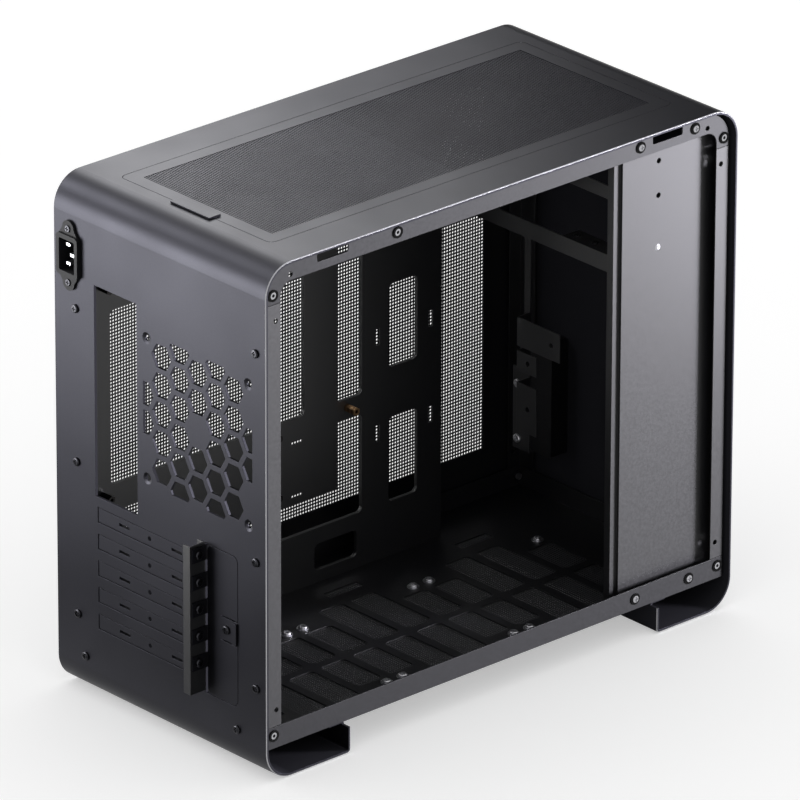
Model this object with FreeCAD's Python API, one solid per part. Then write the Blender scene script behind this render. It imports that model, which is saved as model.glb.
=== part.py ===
import FreeCAD, Part
import math
import os

# Compact tower computer case, shown with its left side panel taken off.
# X runs from the open left side to the right side, Y from the front to the rear, Z upwards, in millimetres.

V = FreeCAD.Vector
X_AXIS = V(1, 0, 0)
Y_AXIS = V(0, 1, 0)
Z_AXIS = V(0, 0, 1)

# Outer shell: one folded aluminium sheet with rear wall, roof, front wall and both feet
SHELL_W = 220.0
SHELL_D = 440.0
SHELL_H = 384.0
SHELL_T = 2.0
SHELL_BEND_R = 23.0
SHELL_CHAMFER = 0.6
FOOT_BEND_R = 3.0
FOOT_H = 22.2
REAR_FOOT_D = 77.5
FRONT_FOOT_D = 72.0
FOOT_FLANGE = 14.0
FOOT_RELIEF_W = 7.0
FOOT_RELIEF_H = 3.0

# Rubber pads under the feet
PAD_W = 40.0
PAD_D = 16.0
PAD_T = 1.0
PAD_INSET_X = 22.0
PAD_INSET_Y = 24.0

# Steel frame inside the shell
STEEL_T = 1.0
SEAT = 0.2
SEAM = 0.4
PANEL_RECESS = 4.0
REAR_FLANGE_W = 15.0
FRONT_FLANGE_W = 11.5
FRONT_GAP = 3.5
TOP_FLANGE_H = 14.3
TOP_CORNER_H = 28.0
BOTTOM_FLANGE_H = 16.0
FRAME_CORNER_EASE = 1.0
OPENING_CORNER_R = 9.5
LEFT_LEAF_W = 11.5
RIGHT_LEAF_W = 22.0
FRONT_LEAF_W = 16.0
ROOF_OPENING_MARGIN = 10.0
LACE_HOLE_R = 1.9
LACE_HOLE_INSET = 10.5
LACE_HOLE_RISE = 12.5
ROOF_HOLE_INSET = 24.0
ROOF_HOLE_DROP = 10.0
FLANGE_SLOT_L = 28.5
FLANGE_SLOT_H = 6.4
FLANGE_SLOT_INSET = 62.2
FLANGE_SLOT_DROP = 4.8

# Snap sockets of the side panels, set in the flanges
SOCKET_INSET = 8.1
SOCKET_TOP_DROP = 21.2
SOCKET_BOTTOM_RISE = 9.7
SOCKET_MIDDLE_IN = 121.2
SOCKET_MIDDLE_DROP = 6.5
RING_R = 4.3
RING_NECK_R = 3.5
RING_T = 0.8
RING_NECK_L = 4.0
CUP_R = 2.5
CUP_BORE_R = 1.2
CUP_L = 6.0
CUP_PROUD = 0.5
FIT = 0.1

# Right side panel: a shallow perforated pan that snaps on
PANEL_T = 1.0
PANEL_GAP = 0.8
PANEL_SEAT = 0.3
PANEL_FOOT_R = 4.0
PERF_MARGIN_Y = 36.0
PERF_MARGIN_Z = 36.5
PERF_COLUMNS = 14
PERF_ROWS = 8
PERF_BAR = 5.0
STUD_R = 1.0
STUD_FOOT_R = 4.0
STUD_FOOT_T = 1.0
STUD_REACH = 4.0

# Screws
HEAD_R = 3.2
HEAD_H = 1.8
HEAD_ROUND = 1.0
LOW_HEAD_R = 2.6
LOW_HEAD_H = 0.9
LOW_HEAD_ROUND = 0.5
CROSS_L = 3.6
CROSS_W = 0.9
CROSS_DEPTH = 0.7
SHANK_R = 1.5
SHANK_L = 6.0
WASHER_T = 0.6
FLANGE_SCREW_L = 10.0
FLANGE_SCREW_IN = (84.5, 32.5)
FLANGE_SCREW_TOP_DROP = 6.7
FLANGE_SCREW_BOTTOM_RISE = 8.3
LEFT_SCREW_DROP = 34.8
LEFT_SCREW_RISE = (141.4, 46.4)
RIGHT_SCREW_DROP = 38.4
RIGHT_SCREW_RISE = (154.1, 38.5)
LEFT_SCREW_INSET = 10.4
RIGHT_SCREW_INSET = 22.6
SILL_SCREW_X = 79.7
SILL_SCREW_RISE = 8.5

# Top dust filter: flush plate with a mesh field and a pull tab at the rear
FILTER_MARGIN_X = 32.0
FILTER_MARGIN_Y = 33.0
FILTER_CORNER_R = 5.0
FILTER_GAP = 0.4
FILTER_BORDER = 11.5
TAB_W = 40.0
TAB_T = 1.5
TAB_FRONT = 6.0
TAB_REAR = 4.6
TAB_CLEAR = 0.3
MESH_T = 0.8
MESH_SINK = 0.2
MESH_COLUMNS = 8
MESH_ROWS = 14
MESH_BAR = 3.0

# Floor: windows for three fans, cable slots, and a dust mesh below
FLOOR_MESH_T = 0.6
FLOOR_MESH_MARGIN = 6.0
FAN_INSET_X = 82.0
FAN_INSET_Y = 203.0
FAN_PITCH = 120.0
FAN_HOLE_PITCH = 105.0
WINDOWS_PER_FAN = 4
WINDOW_L = 23.0
WINDOW_R = 4.0
WINDOW_WEB = 7.0
WINDOW_SHORT_W = 41.0
WINDOW_LONG_W = 62.5
FAN_SCREW_HOLE_R = 2.2
FLOOR_WASHER_R = 4.5
CABLE_SLOT_GAP = 17.2
CABLE_SLOT_W = 9.0
CABLE_SLOT_L = 32.0
CABLE_SLOT_IN = (215.5, 340.5)

# Motherboard side: rear connector cut-out, tray, standoffs
IO_W = 44.45
IO_H = 158.75
IO_INSET = 64.3
IO_TO_BOARD = 3.81
BOARD_T = 1.57
BOARD_GAP = 0.9
STANDOFF_H = 10.0
STANDOFF_FLATS = 5.5
STANDOFF_BORE_R = 1.3
STANDOFF_FLOOR = 2.0
BOARD_ROW_IN = (10.16, 165.1, 237.49)
BOARD_COLUMN_RISE = (71.7, -85.8, -131.5)
TRAY_BAR_GAP = 3.8
TRAY_LIP = 3.0
TRAY_CORNER_R = 4.0
TRAY_FOLD = 6.0
# Tray cut-outs: ends in from the board's rear edge, and ends above the middle of the connector cut-out
TRAY_CUTOUTS_IN = (
    ((18.1, 197.1), (-80.1, 51.4)),
    ((227.5, 251.5), (-79.4, 51.4)),
    ((227.5, 251.5), (-170.6, -94.4)),
    ((135.1, 251.5), (-170.6, -146.4)),
    ((29.1, 74.1), (-126.6, -100.4)),
    ((206.5, 246.7), (-203.6, -183.1)),
    ((276.7, 304.1), (-66.6, -2.6)),
    ((277.0, 304.3), (-170.6, -105.4)),
)
TRAY_TIE_IN = (266.3, 316.9)
TRAY_TIE_RISE = (-40.1, -114.4)
TRAY_TIE_L = 12.5
TRAY_TIE_W = 4.0
TRAY_DASH_IN = 189.6
TRAY_DASH_RISE = (-98.6, -139.3)
TRAY_DASH_L = 11.0
TRAY_DASH_W = 2.2

# Honeycomb grille and screw dimples of the rear fan place
GRILLE_INSET = 70.4
GRILLE_RISE = 5.0
HEX_PITCH = 21.5
HEX_FLATS = 17.6
GRILLE_R = 57.0
GRILLE_CLIP = 113.0
DIMPLE_R = 4.3
DIMPLE_DEPTH = 0.9

# Power inlet
INLET_INSET = 17.5
INLET_DROP = 51.4
INLET_SCREW_PITCH = 40.0
INLET_FLANGE_W = 22.0
INLET_FLANGE_STRAIGHT = 26.0
INLET_EAR_R = 6.0
INLET_FLANGE_T = 2.0
INLET_RIM_H = 31.0
INLET_RIM_T = 1.5
INLET_RIM_R = 3.0
INLET_CAVITY_W = 16.0
INLET_CAVITY_H = 24.0
INLET_CAVITY_R = 1.2
INLET_CAVITY_DEPTH = 16.0
INLET_BODY_W = 20.0
INLET_BODY_H = 27.5
INLET_BODY_L = 17.0
INLET_PIN_W = 4.0
INLET_PIN_T = 2.0
INLET_PIN_L = 12.5
INLET_PIN_PITCH = 14.0
INLET_PIN_OFFSET = 2.0

# Expansion slots
SLOT_COUNT = 5
SLOT_PITCH = 20.32
SLOT_SILL_GAP = 14.62
SLOT_TO_IO = 92.7
SLOT_H = 11.8
SLOT_INSET = 44.2
SLOT_END_GAP = 2.1
COVER_H = 18.4
COVER_T = 1.0
COVER_OVERLAP = 2.2
COVER_HOLE_R = 1.7
COVER_HOLE_IN = 54.3
COVER_VENT_IN = (27.8, 82.8)
COVER_VENT_L = 11.0
COVER_VENT_W = 2.2
PRESSING_GAP = 0.6
PRESSING_SINK = 0.3
TAB_SCREW_RISE = 10.3
TAB_H = 11.0
LEDGE_INSET = 62.9
LEDGE_T = 1.2
LEDGE_REACH = 14.0
LEDGE_FLANGE = 7.0
LEDGE_ABOVE = 17.7
LEDGE_BELOW = 12.8
LEDGE_SCREW_REACH = 7.0

# Slot access cover
ACCESS_W = 31.0
ACCESS_TAB_GAP = 1.2
ACCESS_TOP_DROP = 1.0
ACCESS_BOTTOM_DROP = 1.4
ACCESS_R = 4.5
ACCESS_GAP = 0.6
LATCH_RISE = (45.6, 63.6)
LATCH_CUT_L = 17.0
LATCH_CUT_W = 1.0
LATCH_LUG_W = 4.0
LATCH_LUG_PROUD = 1.6
LATCH_SCREW_IN = 11.3
STRAP_W = 34.0
STRAP_H = 12.0
STRAP_R = 2.5

# Stepped cover of the power-supply bay, left side
BAY_COVER_DEPTH = 6.5
BAY_COVER_D = 94.1
BAY_STEP_X = 2.2
BAY_STEP_Y = 6.2
BAY_RETURN = 6.0
BAY_NOTCH_PAST = 7.0
BAY_NOTCH_H = 13.0
BAY_HOLE_IN = 34.4
BAY_HOLE_DROP = (25.8, 51.8)
BAY_HOLE_R = 2.0
RIVET_DROP = 91.2
RIVET_R = 2.4
RIVET_H = 0.8

# Bars and bracket that carry the power supply
BAR_DEPTH = 16.0
LOWER_BAR_DROP = 99.8
LOWER_BAR_H = 13.0
UPPER_BAR_DROP = 44.8
UPPER_BAR_H = 10.0
LUG_L = 46.0
LUG_SCREW_IN = (21.0, 39.0)
LUG_SCREW_BACK = 8.0
HANGER_GAP = 1.0
HANGER_T = 4.0
HANGER_D = 10.0
BRACKET_GAP = 65.7
BRACKET_W = 6.0
BRACKET_H = 174.0
BRACKET_STEP = 12.0
BRACKET_FOOT_W = 17.0
BRACKET_FOOT_H = 63.0
# Ears of the bracket: reach past the strip, ends above the lower bar, and how far out the hole lies
BRACKET_EARS = (
    (42.9, (-87.5, -65.5), 34.0),
    (18.8, (-106.0, -91.0), 10.0),
    (19.0, (-152.0, -115.5), 10.0),
)
BRACKET_HOLE_R = 2.0
BRACKET_SCREW_DROP = (123.5, 166.0)
BRACKET_SCREW_IN = 12.0

# Front controls on a board behind the front wall
CONTROLS_INSET = 40.0
CONTROLS_W = 22.0
CONTROLS_RISE = 39.2
CONTROLS_H = 90.0
CONTROLS_R = 3.0
CONTROLS_DEPTH = 16.0
PORT_CLEAR = 0.15
PORT_L = 14.0
PORT_WALL = 0.4
PORT_TONGUE = 0.9
USB_A_RISE = 16.0
USB_A_W = 5.8
USB_A_H = 13.2
USB_C_RISE = 38.0
USB_C_W = 3.2
USB_C_H = 9.0
JACK_RISE = 56.0
JACK_R = 3.0
JACK_BORE_R = 1.75
BUTTON_RISE = 77.0
BUTTON_R = 5.5
BUTTON_CLEAR = 0.3
BUTTON_SINK = 0.2
BUTTON_L = 6.0
BUTTON_COLLAR = 1.2
BUTTON_COLLAR_T = 1.0
BUTTON_TRAVEL = 1.2
BUTTON_OVERTRAVEL = 0.3
SWITCH_W = 6.0

# Planes and places that the pieces share
SIDE_X = SHELL_W / 2
REAR_Y = SHELL_D / 2
FRONT_Y = -SHELL_D / 2
REAR_IN = REAR_Y - SHELL_T
FRONT_IN = FRONT_Y + SHELL_T
ROOF_IN = SHELL_H - SHELL_T
BEND_IN = SHELL_BEND_R - SHELL_T
FLANGE_X = SIDE_X - PANEL_RECESS
FRAME_REAR = REAR_IN - SEAT
FRAME_FRONT = FRONT_IN + FRONT_GAP
FRAME_TOP = ROOF_IN - SEAT
ROOF_PLATE_Z = FRAME_TOP - STEEL_T
FLOOR_Z = FOOT_H + FLOOR_MESH_T
FLOOR_TOP = FLOOR_Z + STEEL_T
OPENING_REAR = REAR_IN - REAR_FLANGE_W
OPENING_FRONT = FRAME_FRONT + FRONT_FLANGE_W
OPENING_TOP = ROOF_IN - TOP_FLANGE_H
OPENING_BOTTOM = FLOOR_Z + BOTTOM_FLANGE_H
UPPER_SEAM_Z = ROOF_IN - TOP_CORNER_H
SOCKET_Y = REAR_IN - SOCKET_INSET
SOCKET_Z = (ROOF_IN - SOCKET_TOP_DROP, FLOOR_Z + SOCKET_BOTTOM_RISE)
FLANGE_SLOT_Y = REAR_IN - FLANGE_SLOT_INSET
FLANGE_SCREW_Y = [FRAME_FRONT + inset for inset in FLANGE_SCREW_IN]
FLANGE_SCREW_Z = (ROOF_IN - FLANGE_SCREW_TOP_DROP, FLOOR_Z + FLANGE_SCREW_BOTTOM_RISE)
FILTER_W = SHELL_W - 2 * FILTER_MARGIN_X
FILTER_D = SHELL_D - 2 * FILTER_MARGIN_Y
FAN_X = -SIDE_X + FAN_INSET_X
FAN_Y = REAR_IN - FAN_INSET_Y
IO_X = SIDE_X - IO_INSET
LOWEST_SLOT_Z = OPENING_BOTTOM + SLOT_SILL_GAP + COVER_H / 2
SLOT_TOP_Z = LOWEST_SLOT_Z + (SLOT_COUNT - 1) * SLOT_PITCH
IO_Z = SLOT_TOP_Z + SLOT_TO_IO
GRILLE_X = -SIDE_X + GRILLE_INSET
GRILLE_Z = IO_Z + GRILLE_RISE
INLET_X = SIDE_X - INLET_INSET
INLET_Z = ROOF_IN - INLET_DROP
BOARD_REAR = REAR_IN - BOARD_GAP
BAY_COVER_X = -FLANGE_X + STEEL_T + BAY_COVER_DEPTH
BAY_COVER_REAR_Y = FRAME_FRONT + BAY_COVER_D
BAY_STEPPED_X = BAY_COVER_X + BAY_STEP_X
BAY_POST_Y = BAY_COVER_REAR_Y + BAY_STEP_Y
BAY_RETURN_X = BAY_STEPPED_X + BAY_RETURN
BAY_HOLE_Y = BAY_COVER_REAR_Y - BAY_HOLE_IN
BAR_FACE_Y = BAY_POST_Y
LOWER_BAR_Z = ROOF_PLATE_Z - LOWER_BAR_DROP
UPPER_BAR_Z = ROOF_PLATE_Z - UPPER_BAR_DROP
HANGER_X = FLANGE_X - STEEL_T - HANGER_GAP - HANGER_T
TRAY_X = IO_X + IO_W / 2 - IO_TO_BOARD + BOARD_T + STANDOFF_H
TRAY_FRONT_Y = BAR_FACE_Y + TRAY_BAR_GAP
TRAY_CUTOUTS = [
    ((BOARD_REAR - y[1], BOARD_REAR - y[0]), (IO_Z + z[0], IO_Z + z[1])) for y, z in TRAY_CUTOUTS_IN
]
BRACKET_RIGHT_X = TRAY_X - BRACKET_GAP
BRACKET_LEFT_X = BRACKET_RIGHT_X - BRACKET_W
CABLE_SLOT_X = TRAY_X - CABLE_SLOT_GAP - CABLE_SLOT_W / 2
LEDGE_X = -SIDE_X + LEDGE_INSET
TAB_X = LEDGE_X - COVER_T
SLOT_RIGHT_X = SIDE_X - SLOT_INSET
SLOT_LEFT_X = LEDGE_X + LEDGE_FLANGE + SLOT_END_GAP
LEDGE_TOP_Z = SLOT_TOP_Z + LEDGE_ABOVE
LEDGE_BOTTOM_Z = LOWEST_SLOT_Z - LEDGE_BELOW
ACCESS_X = TAB_X - ACCESS_TAB_GAP - ACCESS_W / 2
ACCESS_LEFT_X = ACCESS_X - ACCESS_W / 2
ACCESS_TOP_Z = LEDGE_TOP_Z - ACCESS_TOP_DROP
ACCESS_BOTTOM_Z = LEDGE_BOTTOM_Z - ACCESS_BOTTOM_DROP
LATCH_Z = [ACCESS_BOTTOM_Z + rise for rise in LATCH_RISE]
LATCH_SCREW_X = ACCESS_LEFT_X + LATCH_SCREW_IN
CONTROLS_X = SIDE_X - CONTROLS_INSET
CONTROLS_FOOT_Z = FLOOR_Z + CONTROLS_RISE
USB_A_Z = CONTROLS_FOOT_Z + USB_A_RISE
USB_C_Z = CONTROLS_FOOT_Z + USB_C_RISE
JACK_Z = CONTROLS_FOOT_Z + JACK_RISE
BUTTON_Z = CONTROLS_FOOT_Z + BUTTON_RISE
THROUGH = 30.0


def span(centre, size):
    """Low and high end of a size set about its centre."""
    return (centre - size / 2, centre + size / 2)


def block(x, y, z):
    """Box between three pairs of low and high ends."""
    return Part.makeBox(x[1] - x[0], y[1] - y[0], z[1] - z[0], V(x[0], y[0], z[0]))


def slab(x, y, z, along, radius):
    """Box whose four edges along one axis are rounded."""
    solid = block(x, y, z)
    edges = [edge for edge in solid.Edges if abs(edge.tangentAt(edge.FirstParameter).dot(along)) > 0.9]
    return solid.makeFillet(radius, edges)


def rod(radius, start, along, length):
    """Round bar from a start point."""
    return Part.makeCylinder(radius, length, start, along)


def hole_x(y, z, radius, x):
    """Round cutter through a side wall at x."""
    return rod(radius, V(x - THROUGH / 2, y, z), X_AXIS, THROUGH)


def hole_y(x, z, radius, y):
    """Round cutter through a front or rear wall at y."""
    return rod(radius, V(x, y - THROUGH / 2, z), Y_AXIS, THROUGH)


def hole_z(x, y, radius, z):
    """Round cutter through a level wall at z."""
    return rod(radius, V(x, y, z - THROUGH / 2), Z_AXIS, THROUGH)


def prism(corners, y):
    """Polygon of (x, z) corners pushed along Y."""
    points = [V(px, y[0], pz) for px, pz in corners]
    return Part.Face(Part.makePolygon(points + points[:1])).extrude(V(0, y[1] - y[0], 0))


def joined(solids):
    """One solid from touching solids."""
    return solids[0].fuse(solids[1:]).removeSplitter()


def less(solid, cutters):
    """Solid with a list of cutters taken out."""
    return solid.cut(cutters).removeSplitter()


def seated(shape, where, facing):
    """Copy of a piece that stands on its seat, moved to a point and turned to face a direction."""
    copy = shape.copy()
    copy.Placement = FreeCAD.Placement(where, FreeCAD.Rotation(Z_AXIS, facing))
    return copy


def screw(shank_l, low=False):
    """Cross-head screw with its seat at the origin and its pan head, or low head, upwards."""
    radius, height, rounding = (HEAD_R, HEAD_H, HEAD_ROUND)
    if low:
        radius, height, rounding = (LOW_HEAD_R, LOW_HEAD_H, LOW_HEAD_ROUND)
    head = rod(radius, V(0, 0, 0), Z_AXIS, height)
    crown = [edge for edge in head.Edges if abs(edge.CenterOfMass.z - height) < 1e-6]
    head = head.makeFillet(rounding, crown)
    shank = rod(SHANK_R, V(0, 0, -shank_l), Z_AXIS, shank_l)
    recess = (height - CROSS_DEPTH, height + 1)
    cross = [
        block(span(0, CROSS_L), span(0, CROSS_W), recess),
        block(span(0, CROSS_W), span(0, CROSS_L), recess),
    ]
    return joined([head, shank]).cut(cross)


def washer(radius, bore):
    """Flat ring with its seat at the origin."""
    return rod(radius, V(0, 0, 0), Z_AXIS, WASHER_T).cut(rod(bore, V(0, 0, 0), Z_AXIS, WASHER_T))


def frame_outline(x):
    """Outer outline of the steel frame seen from the side, as a slab."""
    radius = BEND_IN + FRAME_CORNER_EASE
    return slab(x, (FRAME_FRONT, FRAME_REAR), (FLOOR_Z - radius, FRAME_TOP), X_AXIS, radius)


def side_opening(x):
    """Side opening of the frame with its rounded upper corners."""
    below = OPENING_BOTTOM - 2 * OPENING_CORNER_R
    return slab(x, (OPENING_FRONT, OPENING_REAR), (below, OPENING_TOP), X_AXIS, OPENING_CORNER_R)


def flange_x(side):
    """Low and high X of the flange on the left (-1) or right (1) side."""
    return tuple(sorted((side * FLANGE_X, side * (FLANGE_X - STEEL_T))))


def fold_path(corners, radii):
    """Edges of an outline in the YZ plane with each inner corner rounded."""
    points = [V(0, y, z) for y, z in corners]
    edges = []
    last = points[0]
    for before, point, after, radius in zip(points, points[1:], points[2:], radii):
        way_in = (point - before).normalize()
        way_out = (after - point).normalize()
        centre = point - way_in * radius + way_out * radius
        middle = centre + (way_in - way_out) * (radius / math.sqrt(2))
        start = point - way_in * radius
        end = point + way_out * radius
        edges.append(Part.LineSegment(last, start).toShape())
        edges.append(Part.Arc(start, middle, end).toShape())
        last = end
    edges.append(Part.LineSegment(last, points[-1]).toShape())
    return edges


def hexagon(x, z):
    """Hexagonal cutter through the rear wall, flats level."""
    reach = HEX_FLATS / math.sqrt(3)
    turns = [math.radians(60 * step) for step in range(6)]
    corners = [(x + reach * math.cos(turn), z + reach * math.sin(turn)) for turn in turns]
    return prism(corners, (REAR_IN - 1, REAR_Y + 1))


def grille_cutters():
    """Honeycomb of the fan grille inside a round field that a square trims, with a solid centre."""
    cells = []
    reach = int(GRILLE_R / HEX_PITCH) + 1
    for column in range(-reach, reach + 1):
        for row in range(-reach, reach + 1):
            x = column * HEX_PITCH * math.sqrt(3) / 2
            z = (row + (column % 2) / 2) * HEX_PITCH
            if 0 < math.hypot(x, z) <= GRILLE_R:
                cells.append(hexagon(GRILLE_X + x, GRILLE_Z + z))
    trim = block(span(GRILLE_X, GRILLE_CLIP), (REAR_IN - 1, REAR_Y + 1), span(GRILLE_Z, GRILLE_CLIP))
    return [cell.common(trim) for cell in cells]


def fan_dimple_cutters():
    """Screw holes of the rear fan, each in a conical dimple."""
    cutters = []
    for x in span(GRILLE_X, FAN_HOLE_PITCH):
        for z in span(GRILLE_Z, FAN_HOLE_PITCH):
            cutters.append(hole_y(x, z, FAN_SCREW_HOLE_R, REAR_Y))
            foot = V(x, REAR_Y - DIMPLE_DEPTH, z)
            cutters.append(Part.makeCone(FAN_SCREW_HOLE_R, DIMPLE_R, DIMPLE_DEPTH, foot, Y_AXIS))
    return cutters


def slot_z(index):
    """Middle height of an expansion slot."""
    return SLOT_TOP_Z - index * SLOT_PITCH


def rear_screw_places():
    """X and Z of the screws that hold the rear wall to the frame."""
    left_z = [UPPER_SEAM_Z - LEFT_SCREW_DROP] + [FLOOR_Z + rise for rise in LEFT_SCREW_RISE]
    right_z = [INLET_Z - RIGHT_SCREW_DROP] + [FLOOR_Z + rise for rise in RIGHT_SCREW_RISE]
    left = [(-SIDE_X + LEFT_SCREW_INSET, z) for z in left_z]
    right = [(SIDE_X - RIGHT_SCREW_INSET, z) for z in right_z]
    sill = [(side * SILL_SCREW_X, FLOOR_Z + SILL_SCREW_RISE) for side in (-1, 1)]
    return left + right + sill


def inlet_screw_places():
    """X and Z of the two inlet screws."""
    return [(INLET_X, z) for z in span(INLET_Z, INLET_SCREW_PITCH)]


def inlet_cutters():
    """Wall opening and screw holes of the power inlet."""
    wide = span(INLET_X, INLET_BODY_W + 2 * FIT)
    tall = span(INLET_Z, INLET_BODY_H + 2 * FIT)
    body = block(wide, (REAR_IN - INLET_BODY_L, REAR_Y + 1), tall)
    return [body] + [hole_y(x, z, SHANK_R + FIT, REAR_Y) for x, z in inlet_screw_places()]


def access_opening():
    """Opening in the rear wall behind the slot access cover and beside the slot ledge."""
    x = (ACCESS_LEFT_X - ACCESS_GAP, LEDGE_X)
    z = (ACCESS_BOTTOM_Z - ACCESS_GAP, ACCESS_TOP_Z + ACCESS_GAP)
    wall = (REAR_IN - 1, REAR_Y + 1)
    rounded = slab(x, wall, z, Y_AXIS, ACCESS_R + ACCESS_GAP)
    return joined([rounded, block((ACCESS_X, LEDGE_X), wall, z)])


def port_cutters(clear):
    """Cutters for the ports of the front controls."""
    y = (FRONT_Y - 1, FRONT_Y + PORT_L + clear)
    boxes = [
        block(span(CONTROLS_X, width + 2 * clear), y, span(z, height + 2 * clear))
        for width, height, z in ((USB_A_W, USB_A_H, USB_A_Z), (USB_C_W, USB_C_H, USB_C_Z))
    ]
    jack = rod(JACK_R + clear, V(CONTROLS_X, y[0], JACK_Z), Y_AXIS, y[1] - y[0])
    return boxes + [jack]


def outer_shell():
    """Folded sheet: a curl from the rear foot over the roof to the front foot."""
    rear_leg = REAR_Y - REAR_FOOT_D
    front_leg = FRONT_Y + FRONT_FOOT_D
    outside = [
        (rear_leg + FOOT_FLANGE, FOOT_H),
        (rear_leg, FOOT_H),
        (rear_leg, 0),
        (REAR_Y, 0),
        (REAR_Y, SHELL_H),
        (FRONT_Y, SHELL_H),
        (FRONT_Y, 0),
        (front_leg, 0),
        (front_leg, FOOT_H),
        (front_leg - FOOT_FLANGE, FOOT_H),
    ]
    t = SHELL_T
    inside = [
        (rear_leg + FOOT_FLANGE, FOOT_H - t),
        (rear_leg + t, FOOT_H - t),
        (rear_leg + t, t),
        (REAR_IN, t),
        (REAR_IN, ROOF_IN),
        (FRONT_IN, ROOF_IN),
        (FRONT_IN, t),
        (front_leg - t, t),
        (front_leg - t, FOOT_H - t),
        (front_leg - FOOT_FLANGE, FOOT_H - t),
    ]
    small, large = FOOT_BEND_R, SHELL_BEND_R
    radii = [small, small, large, large, large, large, small, small]
    outer = fold_path(outside, radii)
    inner = fold_path(inside, [radius - t for radius in radii])
    ends = [
        Part.makeLine(V(0, *outside[0]), V(0, *inside[0])),
        Part.makeLine(V(0, *outside[-1]), V(0, *inside[-1])),
    ]
    section = Part.Face(Part.Wire(Part.__sortEdges__(outer + inner + ends)))
    section.translate(V(-SIDE_X, 0, 0))
    sheet = section.extrude(V(SHELL_W, 0, 0))
    rims = [(edge.CenterOfMass.y, edge.CenterOfMass.z) for edge in outer]
    bright = [
        edge for edge in sheet.Edges
        if abs(abs(edge.CenterOfMass.x) - SIDE_X) < 1e-6
        and any(math.hypot(edge.CenterOfMass.y - y, edge.CenterOfMass.z - z) < 1e-3 for y, z in rims)
    ]
    sheet = sheet.makeChamfer(SHELL_CHAMFER, bright)
    wall = (REAR_IN - 1, REAR_Y + 1)
    roof_hole = slab(
        span(0, FILTER_W + 2 * FILTER_GAP), span(0, FILTER_D + 2 * FILTER_GAP),
        (ROOF_IN - 1, SHELL_H + 1), Z_AXIS, FILTER_CORNER_R + FILTER_GAP,
    )
    cutters = [roof_hole, block(span(IO_X, IO_W), wall, span(IO_Z, IO_H)), access_opening()]
    cutters += grille_cutters() + fan_dimple_cutters() + inlet_cutters() + port_cutters(PORT_CLEAR)
    for index in range(SLOT_COUNT):
        cutters.append(block((SLOT_LEFT_X, SLOT_RIGHT_X), wall, span(slot_z(index), SLOT_H)))
    cutters += [hole_y(x, z, SHANK_R + FIT, REAR_Y) for x, z in rear_screw_places()]
    cutters.append(hole_y(CONTROLS_X, BUTTON_Z, BUTTON_R + BUTTON_CLEAR, FRONT_Y))
    lowered = (FOOT_H - FOOT_RELIEF_H, FOOT_H + 1)
    for leg in (span(rear_leg, 2 * FOOT_FLANGE + 1), span(front_leg, 2 * FOOT_FLANGE + 1)):
        cutters.append(block((-SIDE_X - 1, -SIDE_X + FOOT_RELIEF_W), leg, lowered))
        cutters.append(block((SIDE_X - FOOT_RELIEF_W, SIDE_X + 1), leg, lowered))
    return sheet.cut(cutters)


def foot_pads():
    """Four rubber pads stuck under the soles."""
    pads = []
    for side in (-1, 1):
        x = span(side * (SIDE_X - PAD_INSET_X - PAD_W / 2), PAD_W)
        rear_y = REAR_Y - REAR_FOOT_D + PAD_INSET_Y
        front_y = FRONT_Y + FRONT_FOOT_D - PAD_INSET_Y
        for y in (rear_y, front_y):
            pads.append(slab(x, span(y, PAD_D), (-PAD_T, 0), Z_AXIS, PAD_D / 4))
    return Part.makeCompound(pads)


def socket_places():
    """Y and Z of the snap sockets in one side."""
    corners = [(y, z) for y in (-SOCKET_Y, SOCKET_Y) for z in SOCKET_Z]
    return corners + [(REAR_IN - SOCKET_MIDDLE_IN, ROOF_IN - SOCKET_MIDDLE_DROP)]


def flange_cutters(side):
    """Holes and slots of one side flange."""
    x = side * FLANGE_X
    cutters = [hole_x(y, z, RING_NECK_R + FIT, x) for y, z in socket_places()]
    slot_x = span(x, 4 * STEEL_T)
    slot_z_span = span(ROOF_IN - FLANGE_SLOT_DROP, FLANGE_SLOT_H)
    for y in (-FLANGE_SLOT_Y, FLANGE_SLOT_Y):
        cutters.append(slab(slot_x, span(y, FLANGE_SLOT_L), slot_z_span, X_AXIS, FLANGE_SLOT_H / 4))
    for y in (REAR_IN - LACE_HOLE_INSET, FRONT_IN + LACE_HOLE_INSET):
        for z in (OPENING_BOTTOM + LACE_HOLE_RISE, UPPER_SEAM_Z - LACE_HOLE_RISE):
            cutters.append(hole_x(y, z, LACE_HOLE_R, x))
    for y in (REAR_IN - ROOF_HOLE_INSET, FRONT_IN + ROOF_HOLE_INSET):
        cutters.append(hole_x(y, ROOF_IN - ROOF_HOLE_DROP, LACE_HOLE_R, x))
    if side < 0:
        cutters += [hole_x(y, z, SHANK_R + FIT, x) for y in FLANGE_SCREW_Y for z in FLANGE_SCREW_Z]
    return cutters


def side_flange(side):
    """Whole side flange of the frame before its seams divide it."""
    x = flange_x(side)
    return less(frame_outline(x).cut(side_opening(x)), flange_cutters(side))


def top_frame():
    """Roof plate with the filter opening, and the upper part of both side flanges."""
    flat = (FRONT_IN + BEND_IN, REAR_IN - BEND_IN)
    plate = block((-FLANGE_X, FLANGE_X), flat, (ROOF_PLATE_Z, FRAME_TOP))
    opening = slab(
        span(0, FILTER_W - 2 * ROOF_OPENING_MARGIN), span(0, FILTER_D - 2 * ROOF_OPENING_MARGIN),
        (ROOF_PLATE_Z - 1, FRAME_TOP + 1), Z_AXIS, FILTER_CORNER_R,
    )
    upper = block((-SIDE_X, SIDE_X), (FRONT_Y, REAR_Y), (UPPER_SEAM_Z, SHELL_H))
    flanges = [side_flange(side).common(upper) for side in (-1, 1)]
    return joined([plate.cut(opening)] + flanges)


def fan_centres():
    """Y of the three fan places in the floor."""
    return [FAN_Y + step * FAN_PITCH for step in (-1, 0, 1)]


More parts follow.
